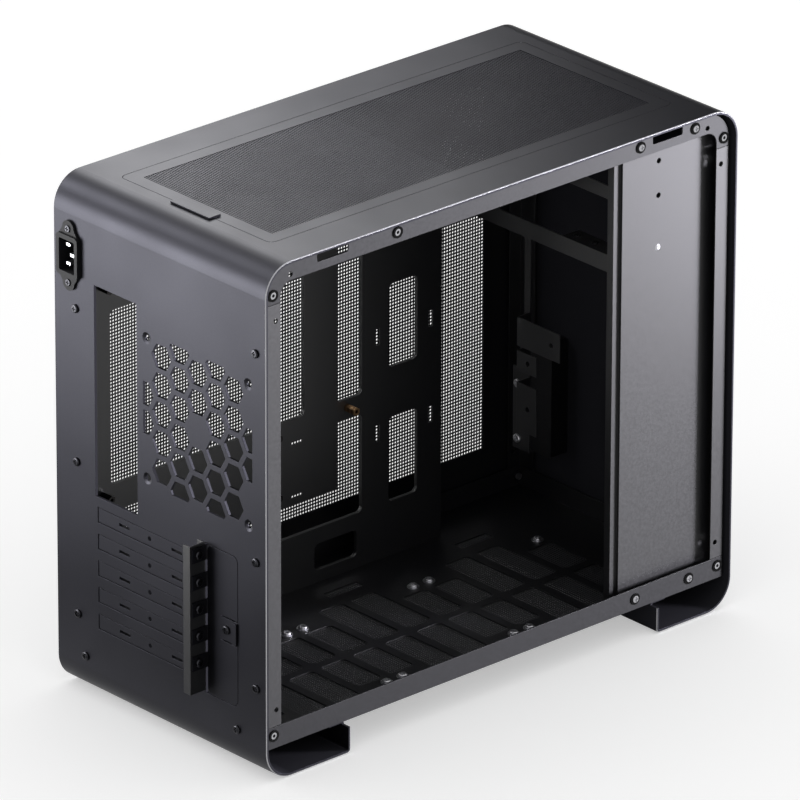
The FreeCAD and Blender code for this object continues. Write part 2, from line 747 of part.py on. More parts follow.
def floor_screw_places():
    """X and Y of the fan screws in the floor."""
    across = span(FAN_X, FAN_HOLE_PITCH)
    return [(x, y) for centre in fan_centres() for x in across for y in span(centre, FAN_HOLE_PITCH)]


def floor_window_cutters():
    """Two columns of windows a fan: short beside the screws, long between them."""
    cutters = []
    pitch = FAN_PITCH / WINDOWS_PER_FAN
    z = (FLOOR_Z - 1, FLOOR_TOP + 1)
    for centre in fan_centres():
        for step in range(WINDOWS_PER_FAN):
            y = span(centre + (step - (WINDOWS_PER_FAN - 1) / 2) * pitch, WINDOW_L)
            width = WINDOW_SHORT_W if step in (0, WINDOWS_PER_FAN - 1) else WINDOW_LONG_W
            right = (FAN_X + WINDOW_WEB / 2, FAN_X + WINDOW_WEB / 2 + width)
            left = (FAN_X - WINDOW_WEB / 2 - width, FAN_X - WINDOW_WEB / 2)
            cutters += [slab(x, y, z, Z_AXIS, WINDOW_R) for x in (left, right)]
    return cutters


def bottom_frame():
    """Floor pan with its upturned flanges."""
    wide = (-FLANGE_X, FLANGE_X)
    deep = (FRAME_FRONT, FRAME_REAR)
    tall = (FLOOR_Z, OPENING_BOTTOM)
    plate = block(wide, deep, (FLOOR_Z, FLOOR_TOP))
    rear = block(wide, (FRAME_REAR - STEEL_T, FRAME_REAR), tall)
    front = block(wide, (FRAME_FRONT, FRAME_FRONT + STEEL_T), tall)
    sides = [block(flange_x(side), deep, tall).cut(flange_cutters(side)) for side in (-1, 1)]
    cutters = floor_window_cutters()
    for inset in CABLE_SLOT_IN:
        slot_x = span(CABLE_SLOT_X, CABLE_SLOT_W)
        slot_y = span(REAR_IN - inset, CABLE_SLOT_L)
        cutters.append(slab(slot_x, slot_y, (FLOOR_Z - 1, FLOOR_TOP + 1), Z_AXIS, CABLE_SLOT_W / 4))
    cutters += [hole_z(x, y, SHANK_R + FIT, FLOOR_Z) for x, y in floor_screw_places()]
    cutters += [hole_y(x, z, SHANK_R + FIT, REAR_Y) for x, z in rear_screw_places()]
    return less(joined([plate, rear, front] + sides), cutters)


def upright(side, edge, leaf):
    """Corner post of the frame: the side flange and a leaf along the rear or front wall."""
    tall = (OPENING_BOTTOM + SEAM, UPPER_SEAM_Z - SEAM)
    deep = (OPENING_REAR, FRAME_REAR) if edge > 0 else (FRAME_FRONT, OPENING_FRONT)
    skin = (FRAME_REAR - STEEL_T, FRAME_REAR) if edge > 0 else (FRAME_FRONT, FRAME_FRONT + STEEL_T)
    wing = tuple(sorted((side * FLANGE_X, side * (FLANGE_X - leaf))))
    post = joined([block(flange_x(side), deep, tall), block(wing, skin, tall)])
    cutters = flange_cutters(side)
    if edge > 0:
        cutters += inlet_cutters()
        cutters += [hole_y(x, z, SHANK_R + FIT, REAR_Y) for x, z in rear_screw_places()]
    return less(post, cutters)


def snap_rings():
    """Black collars pressed into the side flanges."""
    collar = rod(RING_R, V(0, 0, 0), Z_AXIS, RING_T)
    neck = rod(RING_NECK_R, V(0, 0, -RING_NECK_L), Z_AXIS, RING_NECK_L)
    bore = rod(CUP_R + FIT, V(0, 0, -CUP_L), Z_AXIS, CUP_L + THROUGH)
    ring = joined([collar, neck]).cut(bore)
    return Part.makeCompound(socket_copies(ring))


def snap_cups():
    """Steel cups inside the collars that take the studs of a side panel."""
    cup = rod(CUP_R, V(0, 0, CUP_PROUD - CUP_L), Z_AXIS, CUP_L)
    bore = rod(CUP_BORE_R, V(0, 0, -STUD_REACH - 1), Z_AXIS, THROUGH)
    return Part.makeCompound(socket_copies(cup.cut(bore)))


def socket_copies(piece):
    """A piece repeated at every snap socket of both sides."""
    return [
        seated(piece, V(side * FLANGE_X, y, z), V(side, 0, 0))
        for side in (-1, 1) for y, z in socket_places()
    ]


def frame_washers():
    """Dark washers under the screws of the left side flanges."""
    ring = washer(RING_R, SHANK_R + FIT)
    return Part.makeCompound([
        seated(ring, V(-FLANGE_X, y, z), V(-1, 0, 0)) for y in FLANGE_SCREW_Y for z in FLANGE_SCREW_Z
    ])


def frame_screws():
    """Screws through the left side flanges into the cover of the power-supply bay."""
    piece = screw(FLANGE_SCREW_L, low=True)
    x = -FLANGE_X - WASHER_T
    return Part.makeCompound([
        seated(piece, V(x, y, z), V(-1, 0, 0)) for y in FLANGE_SCREW_Y for z in FLANGE_SCREW_Z
    ])


def rear_screws():
    """Screws through the rear wall into the frame."""
    piece = screw(SHANK_L)
    return Part.makeCompound([seated(piece, V(x, REAR_Y, z), Y_AXIS) for x, z in rear_screw_places()])


def floor_washers():
    """Washers of the fan screws in the floor."""
    ring = washer(FLOOR_WASHER_R, SHANK_R + FIT)
    return Part.makeCompound([seated(ring, V(x, y, FLOOR_TOP), Z_AXIS) for x, y in floor_screw_places()])


def floor_screws():
    """Fan screws standing on their washers in the floor."""
    piece = screw(STEEL_T + WASHER_T)
    z = FLOOR_TOP + WASHER_T
    return Part.makeCompound([seated(piece, V(x, y, z), Z_AXIS) for x, y in floor_screw_places()])


def gap_grid(across, along, columns, rows, bar):
    """Low and high ends of the gaps that a grid of bars leaves in a field."""
    def gaps(field, count):
        pitch = (field[1] - field[0] + bar) / count
        return [(field[0] + step * pitch, field[0] + (step + 1) * pitch - bar) for step in range(count)]
    return [(a, b) for a in gaps(across, columns) for b in gaps(along, rows)]


def top_filter_frame():
    """Flush filter plate with a window for its mesh and a pull tab over the rear edge."""
    level = (ROOF_IN, SHELL_H)
    plate = slab(span(0, FILTER_W), span(0, FILTER_D), level, Z_AXIS, FILTER_CORNER_R)
    window = block(mesh_field(FILTER_W), mesh_field(FILTER_D), (ROOF_IN - 1, SHELL_H + 1))
    edge = FILTER_D / 2
    tab_foot = block(span(0, TAB_W), (edge - TAB_FRONT, edge), (SHELL_H, SHELL_H + TAB_T))
    tab_lip = block(span(0, TAB_W), (edge, edge + TAB_REAR), (SHELL_H + TAB_CLEAR, SHELL_H + TAB_T))
    return joined([plate.cut(window), tab_foot, tab_lip])


def mesh_field(size):
    """Low and high end of the filter's mesh field across one size of its plate."""
    return span(0, size - 2 * FILTER_BORDER)


def top_filter_mesh():
    """Mesh of the top filter as a coarse grid of bars in the plate's window."""
    across = mesh_field(FILTER_W)
    along = mesh_field(FILTER_D)
    z = (SHELL_H - MESH_SINK - MESH_T, SHELL_H - MESH_SINK)
    inner_across = (across[0] + MESH_BAR, across[1] - MESH_BAR)
    inner_along = (along[0] + MESH_BAR, along[1] - MESH_BAR)
    gaps = gap_grid(inner_across, inner_along, MESH_COLUMNS, MESH_ROWS, MESH_BAR)
    cutters = [block(a, b, (z[0] - 1, z[1] + 1)) for a, b in gaps]
    return block(across, along, z).cut(cutters)


def bottom_filter_mesh():
    """Dust mesh between the floor and the flanges of the feet, as a coarse grid of bars."""
    across = (-FLANGE_X + FLOOR_MESH_MARGIN, FLANGE_X - FLOOR_MESH_MARGIN)
    along = (FRAME_FRONT + FLOOR_MESH_MARGIN, FRAME_REAR - FLOOR_MESH_MARGIN)
    inner_across = (across[0] + MESH_BAR, across[1] - MESH_BAR)
    inner_along = (along[0] + MESH_BAR, along[1] - MESH_BAR)
    gaps = gap_grid(inner_across, inner_along, MESH_COLUMNS, MESH_ROWS, MESH_BAR)
    cutters = [block(a, b, (FOOT_H - 1, FLOOR_Z + 1)) for a, b in gaps]
    cutters += [hole_z(x, y, SHANK_R + FIT, FLOOR_Z) for x, y in floor_screw_places()]
    return block(across, along, (FOOT_H, FLOOR_Z)).cut(cutters)


def panel_pan(inset, x):
    """Outline of the side panel, drawn in from its edge, as a slab with a straight foot."""
    low = FLOOR_Z + PANEL_GAP + inset
    high = ROOF_IN - PANEL_GAP - inset
    deep = (FRONT_IN + PANEL_GAP + inset, REAR_IN - PANEL_GAP - inset)
    round_top = slab(x, deep, (low - BEND_IN, high), X_AXIS, BEND_IN - inset)
    round_foot = slab(x, deep, (low, high + BEND_IN), X_AXIS, PANEL_FOOT_R - inset)
    return round_top.common(round_foot)


def right_side_panel():
    """Perforated pan with a folded rim, outside flush with the shell's side edges."""
    depth = (FLANGE_X + PANEL_SEAT, SIDE_X)
    hollow = panel_pan(PANEL_T, (depth[0] - 1, SIDE_X - PANEL_T))
    across = (FRONT_IN + PERF_MARGIN_Y, REAR_IN - PERF_MARGIN_Y)
    along = (FLOOR_Z + PERF_MARGIN_Z, ROOF_IN - PERF_MARGIN_Z)
    gaps = gap_grid(across, along, PERF_COLUMNS, PERF_ROWS, PERF_BAR)
    cutters = [block(span(SIDE_X, 4 * PANEL_T), a, b) for a, b in gaps]
    return panel_pan(0, depth).cut([hollow] + cutters)


def panel_studs():
    """Studs inside the right panel that snap into the cups of the right side."""
    seat = SIDE_X - PANEL_T
    reach = seat - FLANGE_X + STUD_REACH
    stud = joined([rod(STUD_FOOT_R, V(0, 0, 0), Z_AXIS, STUD_FOOT_T), rod(STUD_R, V(0, 0, 0), Z_AXIS, reach)])
    return Part.makeCompound([seated(stud, V(seat, y, z), V(-1, 0, 0)) for y, z in socket_places()])


def motherboard_tray():
    """Upright sheet with cable cut-outs, their rims folded to the right, standing on the floor."""
    sheet = (TRAY_X, TRAY_X + STEEL_T)
    deep = (TRAY_FRONT_Y, FRAME_REAR)
    tall = (FLOOR_TOP, ROOF_PLATE_Z)
    plate = block(sheet, deep, tall)
    folded = (TRAY_X, TRAY_X + TRAY_LIP)
    rims = []
    holes = []
    for y, z in TRAY_CUTOUTS:
        rim_y = (y[0] - STEEL_T, y[1] + STEEL_T)
        rim_z = (z[0] - STEEL_T, z[1] + STEEL_T)
        rims.append(slab(folded, rim_y, rim_z, X_AXIS, TRAY_CORNER_R + STEEL_T))
        holes.append(slab((TRAY_X - 1, TRAY_X + TRAY_LIP + 1), y, z, X_AXIS, TRAY_CORNER_R))
    cut_x = span(TRAY_X, 4 * STEEL_T)
    for inset in TRAY_TIE_IN:
        tie_y = span(BOARD_REAR - inset, TRAY_TIE_W)
        holes += [block(cut_x, tie_y, span(IO_Z + rise, TRAY_TIE_L)) for rise in TRAY_TIE_RISE]
    dash_y = span(BOARD_REAR - TRAY_DASH_IN, TRAY_DASH_L)
    holes += [block(cut_x, dash_y, span(IO_Z + rise, TRAY_DASH_W)) for rise in TRAY_DASH_RISE]
    fold = (TRAY_X, TRAY_X + TRAY_FOLD)
    foot = block(fold, deep, (FLOOR_TOP, FLOOR_TOP + STEEL_T))
    skin = (FRAME_REAR - STEEL_T, FRAME_REAR)
    back = block(fold, skin, (OPENING_BOTTOM, UPPER_SEAM_Z))
    floor_seat = block(fold, skin, (FLOOR_Z, OPENING_BOTTOM))
    tray = joined([plate, foot, back] + rims).cut(holes + [floor_seat])
    return tray.common(frame_outline(fold))


def standoffs():
    """Hexagonal brass posts that carry the motherboard."""
    reach = STANDOFF_FLATS / math.sqrt(3)
    turns = [math.radians(60 * step) for step in range(7)]
    ring = Part.makePolygon([V(reach * math.cos(turn), reach * math.sin(turn), 0) for turn in turns])
    bore = rod(STANDOFF_BORE_R, V(0, 0, STANDOFF_FLOOR), Z_AXIS, STANDOFF_H)
    post = Part.Face(ring).extrude(V(0, 0, STANDOFF_H)).cut(bore)
    places = [(BOARD_REAR - row, IO_Z + rise) for row in BOARD_ROW_IN for rise in BOARD_COLUMN_RISE]
    carried = [place for place in places if not over_cutout(*place)]
    return Part.makeCompound([seated(post, V(TRAY_X, y, z), V(-1, 0, 0)) for y, z in carried])


def over_cutout(y, z):
    """True where a tray place is cut away, so that no post stands there."""
    clear = STANDOFF_FLATS
    return any(
        ys[0] - clear < y < ys[1] + clear and zs[0] - clear < z < zs[1] + clear for ys, zs in TRAY_CUTOUTS
    )


def power_inlet():
    """Black inlet: rhombic flange with two ears, raised rim, and a body behind the wall."""
    half = INLET_FLANGE_W / 2
    straight = INLET_FLANGE_STRAIGHT / 2
    ear = INLET_SCREW_PITCH / 2
    outline = [
        (half, straight), (INLET_EAR_R, ear), (-INLET_EAR_R, ear), (-half, straight),
        (-half, -straight), (-INLET_EAR_R, -ear), (INLET_EAR_R, -ear), (half, -straight),
    ]
    proud = (REAR_Y, REAR_Y + INLET_FLANGE_T)
    flange = prism([(INLET_X + x, INLET_Z + z) for x, z in outline], proud)
    ears = [rod(INLET_EAR_R, V(x, REAR_Y, z), Y_AXIS, INLET_FLANGE_T) for x, z in inlet_screw_places()]
    mouth = REAR_Y + INLET_FLANGE_T + INLET_RIM_T
    rim = slab(
        span(INLET_X, INLET_FLANGE_W), (REAR_Y, mouth), span(INLET_Z, INLET_RIM_H), Y_AXIS, INLET_RIM_R,
    )
    body = block(span(INLET_X, INLET_BODY_W), (REAR_Y - INLET_BODY_L, REAR_Y), span(INLET_Z, INLET_BODY_H))
    cavity = slab(
        span(INLET_X, INLET_CAVITY_W), (mouth - INLET_CAVITY_DEPTH, mouth + 1),
        span(INLET_Z, INLET_CAVITY_H), Y_AXIS, INLET_CAVITY_R,
    )
    holes = [hole_y(x, z, SHANK_R + FIT, REAR_Y) for x, z in inlet_screw_places()]
    for x, z in inlet_screw_places():
        holes.append(rod(LOW_HEAD_R + FIT, V(x, proud[1], z), Y_AXIS, INLET_RIM_T + 1))
    return joined([flange, rim, body] + ears).cut([cavity] + holes)


def inlet_pins():
    """Three flat contact pins on the floor of the inlet's cavity."""
    foot = REAR_Y + INLET_FLANGE_T + INLET_RIM_T - INLET_CAVITY_DEPTH
    y = (foot, foot + INLET_PIN_L)
    outer = INLET_PIN_PITCH / 2
    places = [(INLET_PIN_OFFSET, outer), (INLET_PIN_OFFSET, -outer), (-INLET_PIN_OFFSET, 0)]
    return Part.makeCompound([
        block(span(INLET_X + x, INLET_PIN_W), y, span(INLET_Z + z, INLET_PIN_T)) for x, z in places
    ])


def inlet_screws():
    """Two screws in the ears of the inlet."""
    piece = screw(SHANK_L, low=True)
    y = REAR_Y + INLET_FLANGE_T
    return Part.makeCompound([seated(piece, V(x, y, z), Y_AXIS) for x, z in inlet_screw_places()])


def tab_screw(index):
    """Y and Z of the screw that holds a slot cover's tab to the ledge."""
    return REAR_Y + LEDGE_SCREW_REACH, slot_z(index) + TAB_SCREW_RISE


def slot_cover(index):
    """Vented slot cover, pressed up into its slot, with a tab bent out along the ledge."""
    z = slot_z(index)
    skin = (FRAME_REAR - COVER_T, FRAME_REAR)
    plate_left = LEDGE_X + COVER_T
    plate = block((plate_left, SLOT_RIGHT_X + COVER_OVERLAP), skin, span(z, COVER_H))
    screw_y, screw_z = tab_screw(index)
    tab_z = (screw_z - TAB_H / 2, screw_z + TAB_H / 2)
    neck = block((TAB_X, plate_left), skin, (tab_z[0], z + COVER_H / 2))
    tab = block((TAB_X, LEDGE_X), (skin[0], REAR_Y + LEDGE_REACH - LEDGE_T), tab_z)
    cutters = [
        hole_y(SLOT_RIGHT_X - COVER_HOLE_IN, z, COVER_HOLE_R, REAR_IN),
        hole_x(screw_y, screw_z, SHANK_R + FIT, LEDGE_X),
    ]
    for inset in COVER_VENT_IN:
        vent_x = span(SLOT_RIGHT_X - inset, COVER_VENT_L)
        cutters.append(block(vent_x, span(REAR_IN, THROUGH), span(z, COVER_VENT_W)))
    wide = (SLOT_LEFT_X + PRESSING_GAP, SLOT_RIGHT_X - PRESSING_GAP)
    pressing = block(wide, (FRAME_REAR, REAR_Y - PRESSING_SINK), span(z, SLOT_H - 2 * PRESSING_GAP))
    return joined([plate, neck, tab, pressing]).cut(cutters)


def slot_ledge():
    """Folded channel on the rear wall that carries the tabs of the slot covers."""
    z = (LEDGE_BOTTOM_Z, LEDGE_TOP_Z)
    wide = (LEDGE_X, LEDGE_X + LEDGE_FLANGE)
    end = REAR_Y + LEDGE_REACH
    web = block((LEDGE_X, LEDGE_X + LEDGE_T), (REAR_Y, end), z)
    foot = block(wide, (REAR_Y, REAR_Y + LEDGE_T), z)
    lip = block(wide, (end - LEDGE_T, end), z)
    holes = [hole_x(*tab_screw(index), SHANK_R + FIT, LEDGE_X) for index in range(SLOT_COUNT)]
    return less(joined([web, foot, lip]), holes)


def slot_screws():
    """Screws that hold the tabs to the ledge."""
    piece = screw(SHANK_L)
    places = [V(TAB_X, *tab_screw(index)) for index in range(SLOT_COUNT)]
    return Part.makeCompound([seated(piece, place, V(-1, 0, 0)) for place in places])


def slot_access_cover():
    """Flush plate beside the ledge with a latch tongue and a bent lug."""
    wide = span(ACCESS_X, ACCESS_W)
    wall = (REAR_IN, REAR_Y)
    plate = slab(wide, wall, (ACCESS_BOTTOM_Z, ACCESS_TOP_Z), Y_AXIS, ACCESS_R)
    cut_x = (wide[0] - 1, wide[0] + LATCH_CUT_L)
    cuts = [block(cut_x, span(REAR_Y, THROUGH), span(z, LATCH_CUT_W)) for z in LATCH_Z]
    middle = sum(LATCH_Z) / 2
    cuts.append(hole_y(LATCH_SCREW_X, middle, SHANK_R + FIT, REAR_Y))
    lug_z = (LATCH_Z[0] + LATCH_CUT_W, LATCH_Z[1] - LATCH_CUT_W)
    lug = block((wide[0], wide[0] + LATCH_LUG_W), (REAR_IN, REAR_Y + LATCH_LUG_PROUD), lug_z)
    return joined([plate.cut(cuts), lug])


def cover_strap():
    """Strap behind the access cover that takes its screw and bridges to the wall."""
    middle = sum(LATCH_Z) / 2
    left = ACCESS_LEFT_X - ACCESS_GAP - STRAP_H
    skin = (FRAME_REAR - STEEL_T, FRAME_REAR)
    strap = slab((left, left + STRAP_W), skin, span(middle, STRAP_H), Y_AXIS, STRAP_R)
    return strap.cut(hole_y(LATCH_SCREW_X, middle, SHANK_R + FIT, REAR_Y))


def access_cover_screw():
    """Screw of the access cover."""
    return seated(screw(SHANK_L), V(LATCH_SCREW_X, REAR_Y, sum(LATCH_Z) / 2), Y_AXIS)


def front_cover():
    """Stepped sheet that closes the power-supply bay behind the left front upright."""
    t = STEEL_T
    tall = (FLOOR_TOP, ROOF_PLATE_Z)
    front = FRAME_FRONT + STEEL_T + SEAT
    face = block((BAY_COVER_X, BAY_COVER_X + t), (front, BAY_COVER_REAR_Y), tall)
    step = block((BAY_COVER_X, BAY_STEPPED_X + t), (BAY_COVER_REAR_Y - t, BAY_COVER_REAR_Y), tall)
    post = block((BAY_STEPPED_X, BAY_STEPPED_X + t), (BAY_COVER_REAR_Y - t, BAY_POST_Y), tall)
    edge = block((BAY_STEPPED_X, BAY_RETURN_X), (BAY_POST_Y - t, BAY_POST_Y), tall)
    sheet = joined([face, step, post, edge])
    holes = [hole_x(BAY_HOLE_Y, ROOF_IN - drop, BAY_HOLE_R, BAY_COVER_X) for drop in BAY_HOLE_DROP]
    holes.append(hole_x(BAY_HOLE_Y, ROOF_IN - RIVET_DROP, SHANK_R + FIT, BAY_COVER_X))
    holes += [hole_x(y, z, SHANK_R + FIT, BAY_COVER_X) for y in FLANGE_SCREW_Y for z in FLANGE_SCREW_Z]
    slot = span(-FLANGE_SLOT_Y, FLANGE_SLOT_L)
    notch_z = (ROOF_PLATE_Z - BAY_NOTCH_H, ROOF_PLATE_Z + 1)
    holes.append(block(span(BAY_COVER_X, 4 * STEEL_T), (slot[0] - BAY_NOTCH_PAST, slot[1]), notch_z))
    return less(sheet.common(frame_outline((-SIDE_X, SIDE_X))), holes)


def cover_rivet():
    """Bright rivet in the cover of the power-supply bay."""
    head = Part.makeCone(RIVET_R, RIVET_R / 2, RIVET_H)
    shank = rod(SHANK_R, V(0, 0, -2 * STEEL_T), Z_AXIS, 2 * STEEL_T)
    return seated(joined([head, shank]), V(BAY_COVER_X, BAY_HOLE_Y, ROOF_IN - RIVET_DROP), V(-1, 0, 0))


def psu_bar(low, height):
    """Angle bar across the case, from the stepped cover to the hanger."""
    x = (BAY_RETURN_X, HANGER_X)
    face = block(x, (BAR_FACE_Y - STEEL_T, BAR_FACE_Y), (low, low + height))
    leg = block(x, (BAR_FACE_Y - BAR_DEPTH, BAR_FACE_Y), (low, low + STEEL_T))
    return joined([face, leg])


def lug_screw_places():
    """Points of the screw seats on the lower bar's lug."""
    y = BAR_FACE_Y - LUG_SCREW_BACK
    return [V(BAY_RETURN_X + inset, y, LOWER_BAR_Z + LOWER_BAR_H) for inset in LUG_SCREW_IN]


def psu_bar_lower():
    """Lower bar, with a lug bent forward along the top of its left end."""
    top = LOWER_BAR_Z + LOWER_BAR_H
    wide = (BAY_RETURN_X, BAY_RETURN_X + LUG_L)
    lug = block(wide, (BAR_FACE_Y - BAR_DEPTH, BAR_FACE_Y), (top - STEEL_T, top))
    holes = [hole_z(place.x, place.y, SHANK_R + FIT, top) for place in lug_screw_places()]
    return joined([psu_bar(LOWER_BAR_Z, LOWER_BAR_H), lug.cut(holes)])


def psu_bar_screws():
    """Screws in the lug of the lower bar."""
    piece = screw(STEEL_T + WASHER_T, low=True)
    return Part.makeCompound([seated(piece, place, Z_AXIS) for place in lug_screw_places()])


def psu_hanger():
    """Strap at the right that hangs both bars from the roof plate."""
    deep = (BAR_FACE_Y - HANGER_D, BAR_FACE_Y)
    return block((HANGER_X, HANGER_X + HANGER_T), deep, (LOWER_BAR_Z, ROOF_PLATE_Z))


def bracket_screw_places():
    """X and Z of the screws in the foot of the hanging strip."""
    return [(BRACKET_LEFT_X + BRACKET_SCREW_IN, LOWER_BAR_Z - drop) for drop in BRACKET_SCREW_DROP]


def psu_bracket():
    """Hanging strip with a wider foot and three ears that stand behind it."""
    back = BAR_FACE_Y - BAR_DEPTH
    left = BRACKET_LEFT_X
    skin = (back, back + STEEL_T)
    low = LOWER_BAR_Z - BRACKET_H
    pieces = [
        block((left, BRACKET_RIGHT_X), skin, (low, LOWER_BAR_Z)),
        block((left, left + BRACKET_FOOT_W), skin, (low, low + BRACKET_FOOT_H)),
    ]
    holes = [hole_y(x, z, SHANK_R + FIT, back) for x, z in bracket_screw_places()]
    for reach, rise, hole_out in BRACKET_EARS:
        ear_z = (LOWER_BAR_Z + rise[0], LOWER_BAR_Z + rise[1])
        web = (back, back + BRACKET_STEP + STEEL_T / 2)
        pieces.append(block((left - reach, left + STEEL_T), span(back + BRACKET_STEP, STEEL_T), ear_z))
        pieces.append(block((left, left + STEEL_T), web, ear_z))
        holes.append(hole_y(left - hole_out, sum(ear_z) / 2, BRACKET_HOLE_R, back))
    return less(joined(pieces), holes)


def psu_bracket_screws():
    """Screws in the foot of the hanging strip."""
    piece = screw(STEEL_T + WASHER_T)
    y = BAR_FACE_Y - BAR_DEPTH + STEEL_T
    return Part.makeCompound([seated(piece, V(x, y, z), Y_AXIS) for x, z in bracket_screw_places()])


def button_pocket():
    """Round pocket in the control block for the button's collar, travel and switch."""
    depth = BUTTON_L + BUTTON_TRAVEL + BUTTON_OVERTRAVEL
    radius = BUTTON_R + BUTTON_COLLAR + BUTTON_CLEAR
    return rod(radius, V(CONTROLS_X, FRONT_IN - 1, BUTTON_Z), Y_AXIS, depth + 1)


def front_io_module():
    """Control block on the inside of the front wall with pockets for button and ports."""
    tall = (CONTROLS_FOOT_Z, CONTROLS_FOOT_Z + CONTROLS_H)
    deep = (FRONT_IN, FRONT_IN + CONTROLS_DEPTH)
    body = slab(span(CONTROLS_X, CONTROLS_W), deep, tall, Y_AXIS, CONTROLS_R)
    return body.cut(port_cutters(FIT) + [button_pocket()])


def power_button():
    """Round button with a collar that keeps it behind the front wall."""
    front = FRONT_Y + BUTTON_SINK
    cap = rod(BUTTON_R, V(CONTROLS_X, front, BUTTON_Z), Y_AXIS, BUTTON_L)
    collar_y = FRONT_IN + BUTTON_CLEAR
    collar = rod(BUTTON_R + BUTTON_COLLAR, V(CONTROLS_X, collar_y, BUTTON_Z), Y_AXIS, BUTTON_COLLAR_T)
    return joined([cap, collar])


def button_switch():
    """Small push switch on the floor of the button's pocket."""
    back = FRONT_IN + BUTTON_L + BUTTON_TRAVEL + BUTTON_OVERTRAVEL
    front = FRONT_Y + BUTTON_SINK + BUTTON_L + BUTTON_TRAVEL + BUTTON_OVERTRAVEL
    return block(span(CONTROLS_X, SWITCH_W), (front, back), span(BUTTON_Z, SWITCH_W))


def usb_port(width, height, z):
    """Metal port shell with an inner tongue, flush with the front wall."""
    y = (FRONT_Y, FRONT_Y + PORT_L)
    shell = block(span(CONTROLS_X, width), y, span(z, height))
    inside_x = span(CONTROLS_X, width - 2 * PORT_WALL)
    inside_z = span(z, height - 2 * PORT_WALL)
    hollow = block(inside_x, (y[0] - 1, y[1] - PORT_WALL), inside_z)
    tongue = block(span(CONTROLS_X, PORT_TONGUE), (y[0] + 1, y[1]), span(z, height - 4 * PORT_TONGUE))
    return joined([shell.cut(hollow), tongue])


def audio_jack():
    """Round audio socket, flush with the front wall."""
    barrel = rod(JACK_R, V(CONTROLS_X, FRONT_Y, JACK_Z), Y_AXIS, PORT_L)
    bore = rod(JACK_BORE_R, V(CONTROLS_X, FRONT_Y - 1, JACK_Z), Y_AXIS, PORT_L)
    return barrel.cut(bore)


PIECES = {
    "outer_shell": outer_shell(),
    "foot_pads": foot_pads(),
    "top_frame": top_frame(),
    "bottom_frame": bottom_frame(),
    "rear_left_upright": upright(-1, 1, LEFT_LEAF_W),
    "rear_right_upright": upright(1, 1, RIGHT_LEAF_W),
    "front_left_upright": upright(-1, -1, FRONT_LEAF_W),
    "front_right_upright": upright(1, -1, FRONT_LEAF_W),
    "motherboard_tray": motherboard_tray(),
    "standoffs": standoffs(),
    "right_side_panel": right_side_panel(),
    "panel_studs": panel_studs(),
    "snap_rings": snap_rings(),
    "snap_cups": snap_cups(),
    "frame_washers": frame_washers(),
    "frame_screws": frame_screws(),
    "rear_screws": rear_screws(),
    "floor_washers": floor_washers(),
    "floor_screws": floor_screws(),
    "top_filter_frame": top_filter_frame(),
    "top_filter_mesh": top_filter_mesh(),
    "bottom_filter_mesh": bottom_filter_mesh(),
    "power_inlet": power_inlet(),
    "inlet_pins": inlet_pins(),
    "inlet_screws": inlet_screws(),
    "slot_ledge": slot_ledge(),
    "slot_screws": slot_screws(),
    "slot_access_cover": slot_access_cover(),
    "access_cover_screw": access_cover_screw(),
    "cover_strap": cover_strap(),
    "front_cover": front_cover(),
    "cover_rivet": cover_rivet(),
    "psu_bar_lower": psu_bar_lower(),
    "psu_bar_screws": psu_bar_screws(),
    "psu_bar_upper": psu_bar(UPPER_BAR_Z, UPPER_BAR_H),
    "psu_hanger": psu_hanger(),
    "psu_bracket": psu_bracket(),
    "psu_bracket_screws": psu_bracket_screws(),
    "front_io_module": front_io_module(),
    "power_button": power_button(),
    "button_switch": button_switch(),
    "usb_a_port": usb_port(USB_A_W, USB_A_H, USB_A_Z),
    "usb_c_port": usb_port(USB_C_W, USB_C_H, USB_C_Z),
    "audio_jack": audio_jack(),
}
for number in range(SLOT_COUNT):
    PIECES["slot_cover_%d" % (number + 1)] = slot_cover(number)

# The origin lies under the middle of the whole box, on the surface that the pads stand on
TO_ORIGIN = V(0, -LEDGE_REACH / 2, PAD_T)
os.makedirs("parts", exist_ok=True)
for node, shape in PIECES.items():
    shape.translate(TO_ORIGIN)
    shape.exportStep("parts/" + node + ".step")
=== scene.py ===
import math

import bpy
import numpy as np
from mathutils import Matrix, Vector


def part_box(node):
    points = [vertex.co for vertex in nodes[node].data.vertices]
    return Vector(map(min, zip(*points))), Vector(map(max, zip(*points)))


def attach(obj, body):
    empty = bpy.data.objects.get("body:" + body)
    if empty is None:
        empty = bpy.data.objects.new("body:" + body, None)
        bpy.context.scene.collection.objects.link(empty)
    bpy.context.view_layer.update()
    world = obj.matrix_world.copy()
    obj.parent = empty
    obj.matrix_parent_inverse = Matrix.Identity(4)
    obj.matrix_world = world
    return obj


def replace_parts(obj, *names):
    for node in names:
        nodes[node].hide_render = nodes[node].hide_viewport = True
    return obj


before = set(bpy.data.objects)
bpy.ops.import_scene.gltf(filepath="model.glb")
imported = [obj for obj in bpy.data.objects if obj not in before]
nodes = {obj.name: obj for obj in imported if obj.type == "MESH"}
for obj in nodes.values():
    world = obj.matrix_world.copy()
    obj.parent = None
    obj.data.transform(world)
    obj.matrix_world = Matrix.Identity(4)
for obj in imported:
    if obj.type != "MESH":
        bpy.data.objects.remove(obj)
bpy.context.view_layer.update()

# Outer shell, filter plate and power button: aluminium sheet, folded or punched, bead blasted and anodised
# dark grey. The shell's side edges are cut to a bright chamfer after the dye bath.
MM = 0.001
GRIT_MM = 0.9
GRIT_DEPTH_MM = 0.05
CLOUD_MM = 70.0
EDGE_MM = 0.35
EDGE_SAMPLES = 4
DYE_DARK = "#252529"
DYE_PALE = "#2c2c31"
CHAMFER_SLOPE = 0.7071
CHAMFER_SPAN = 0.02
CUT_SPAN_MM = 0.05
CASE_CENTRE = (0.0, 0.0, 0.19)
# A noise lies mostly between these two levels.
NOISE_LOW = 0.3
NOISE_HIGH = 0.7
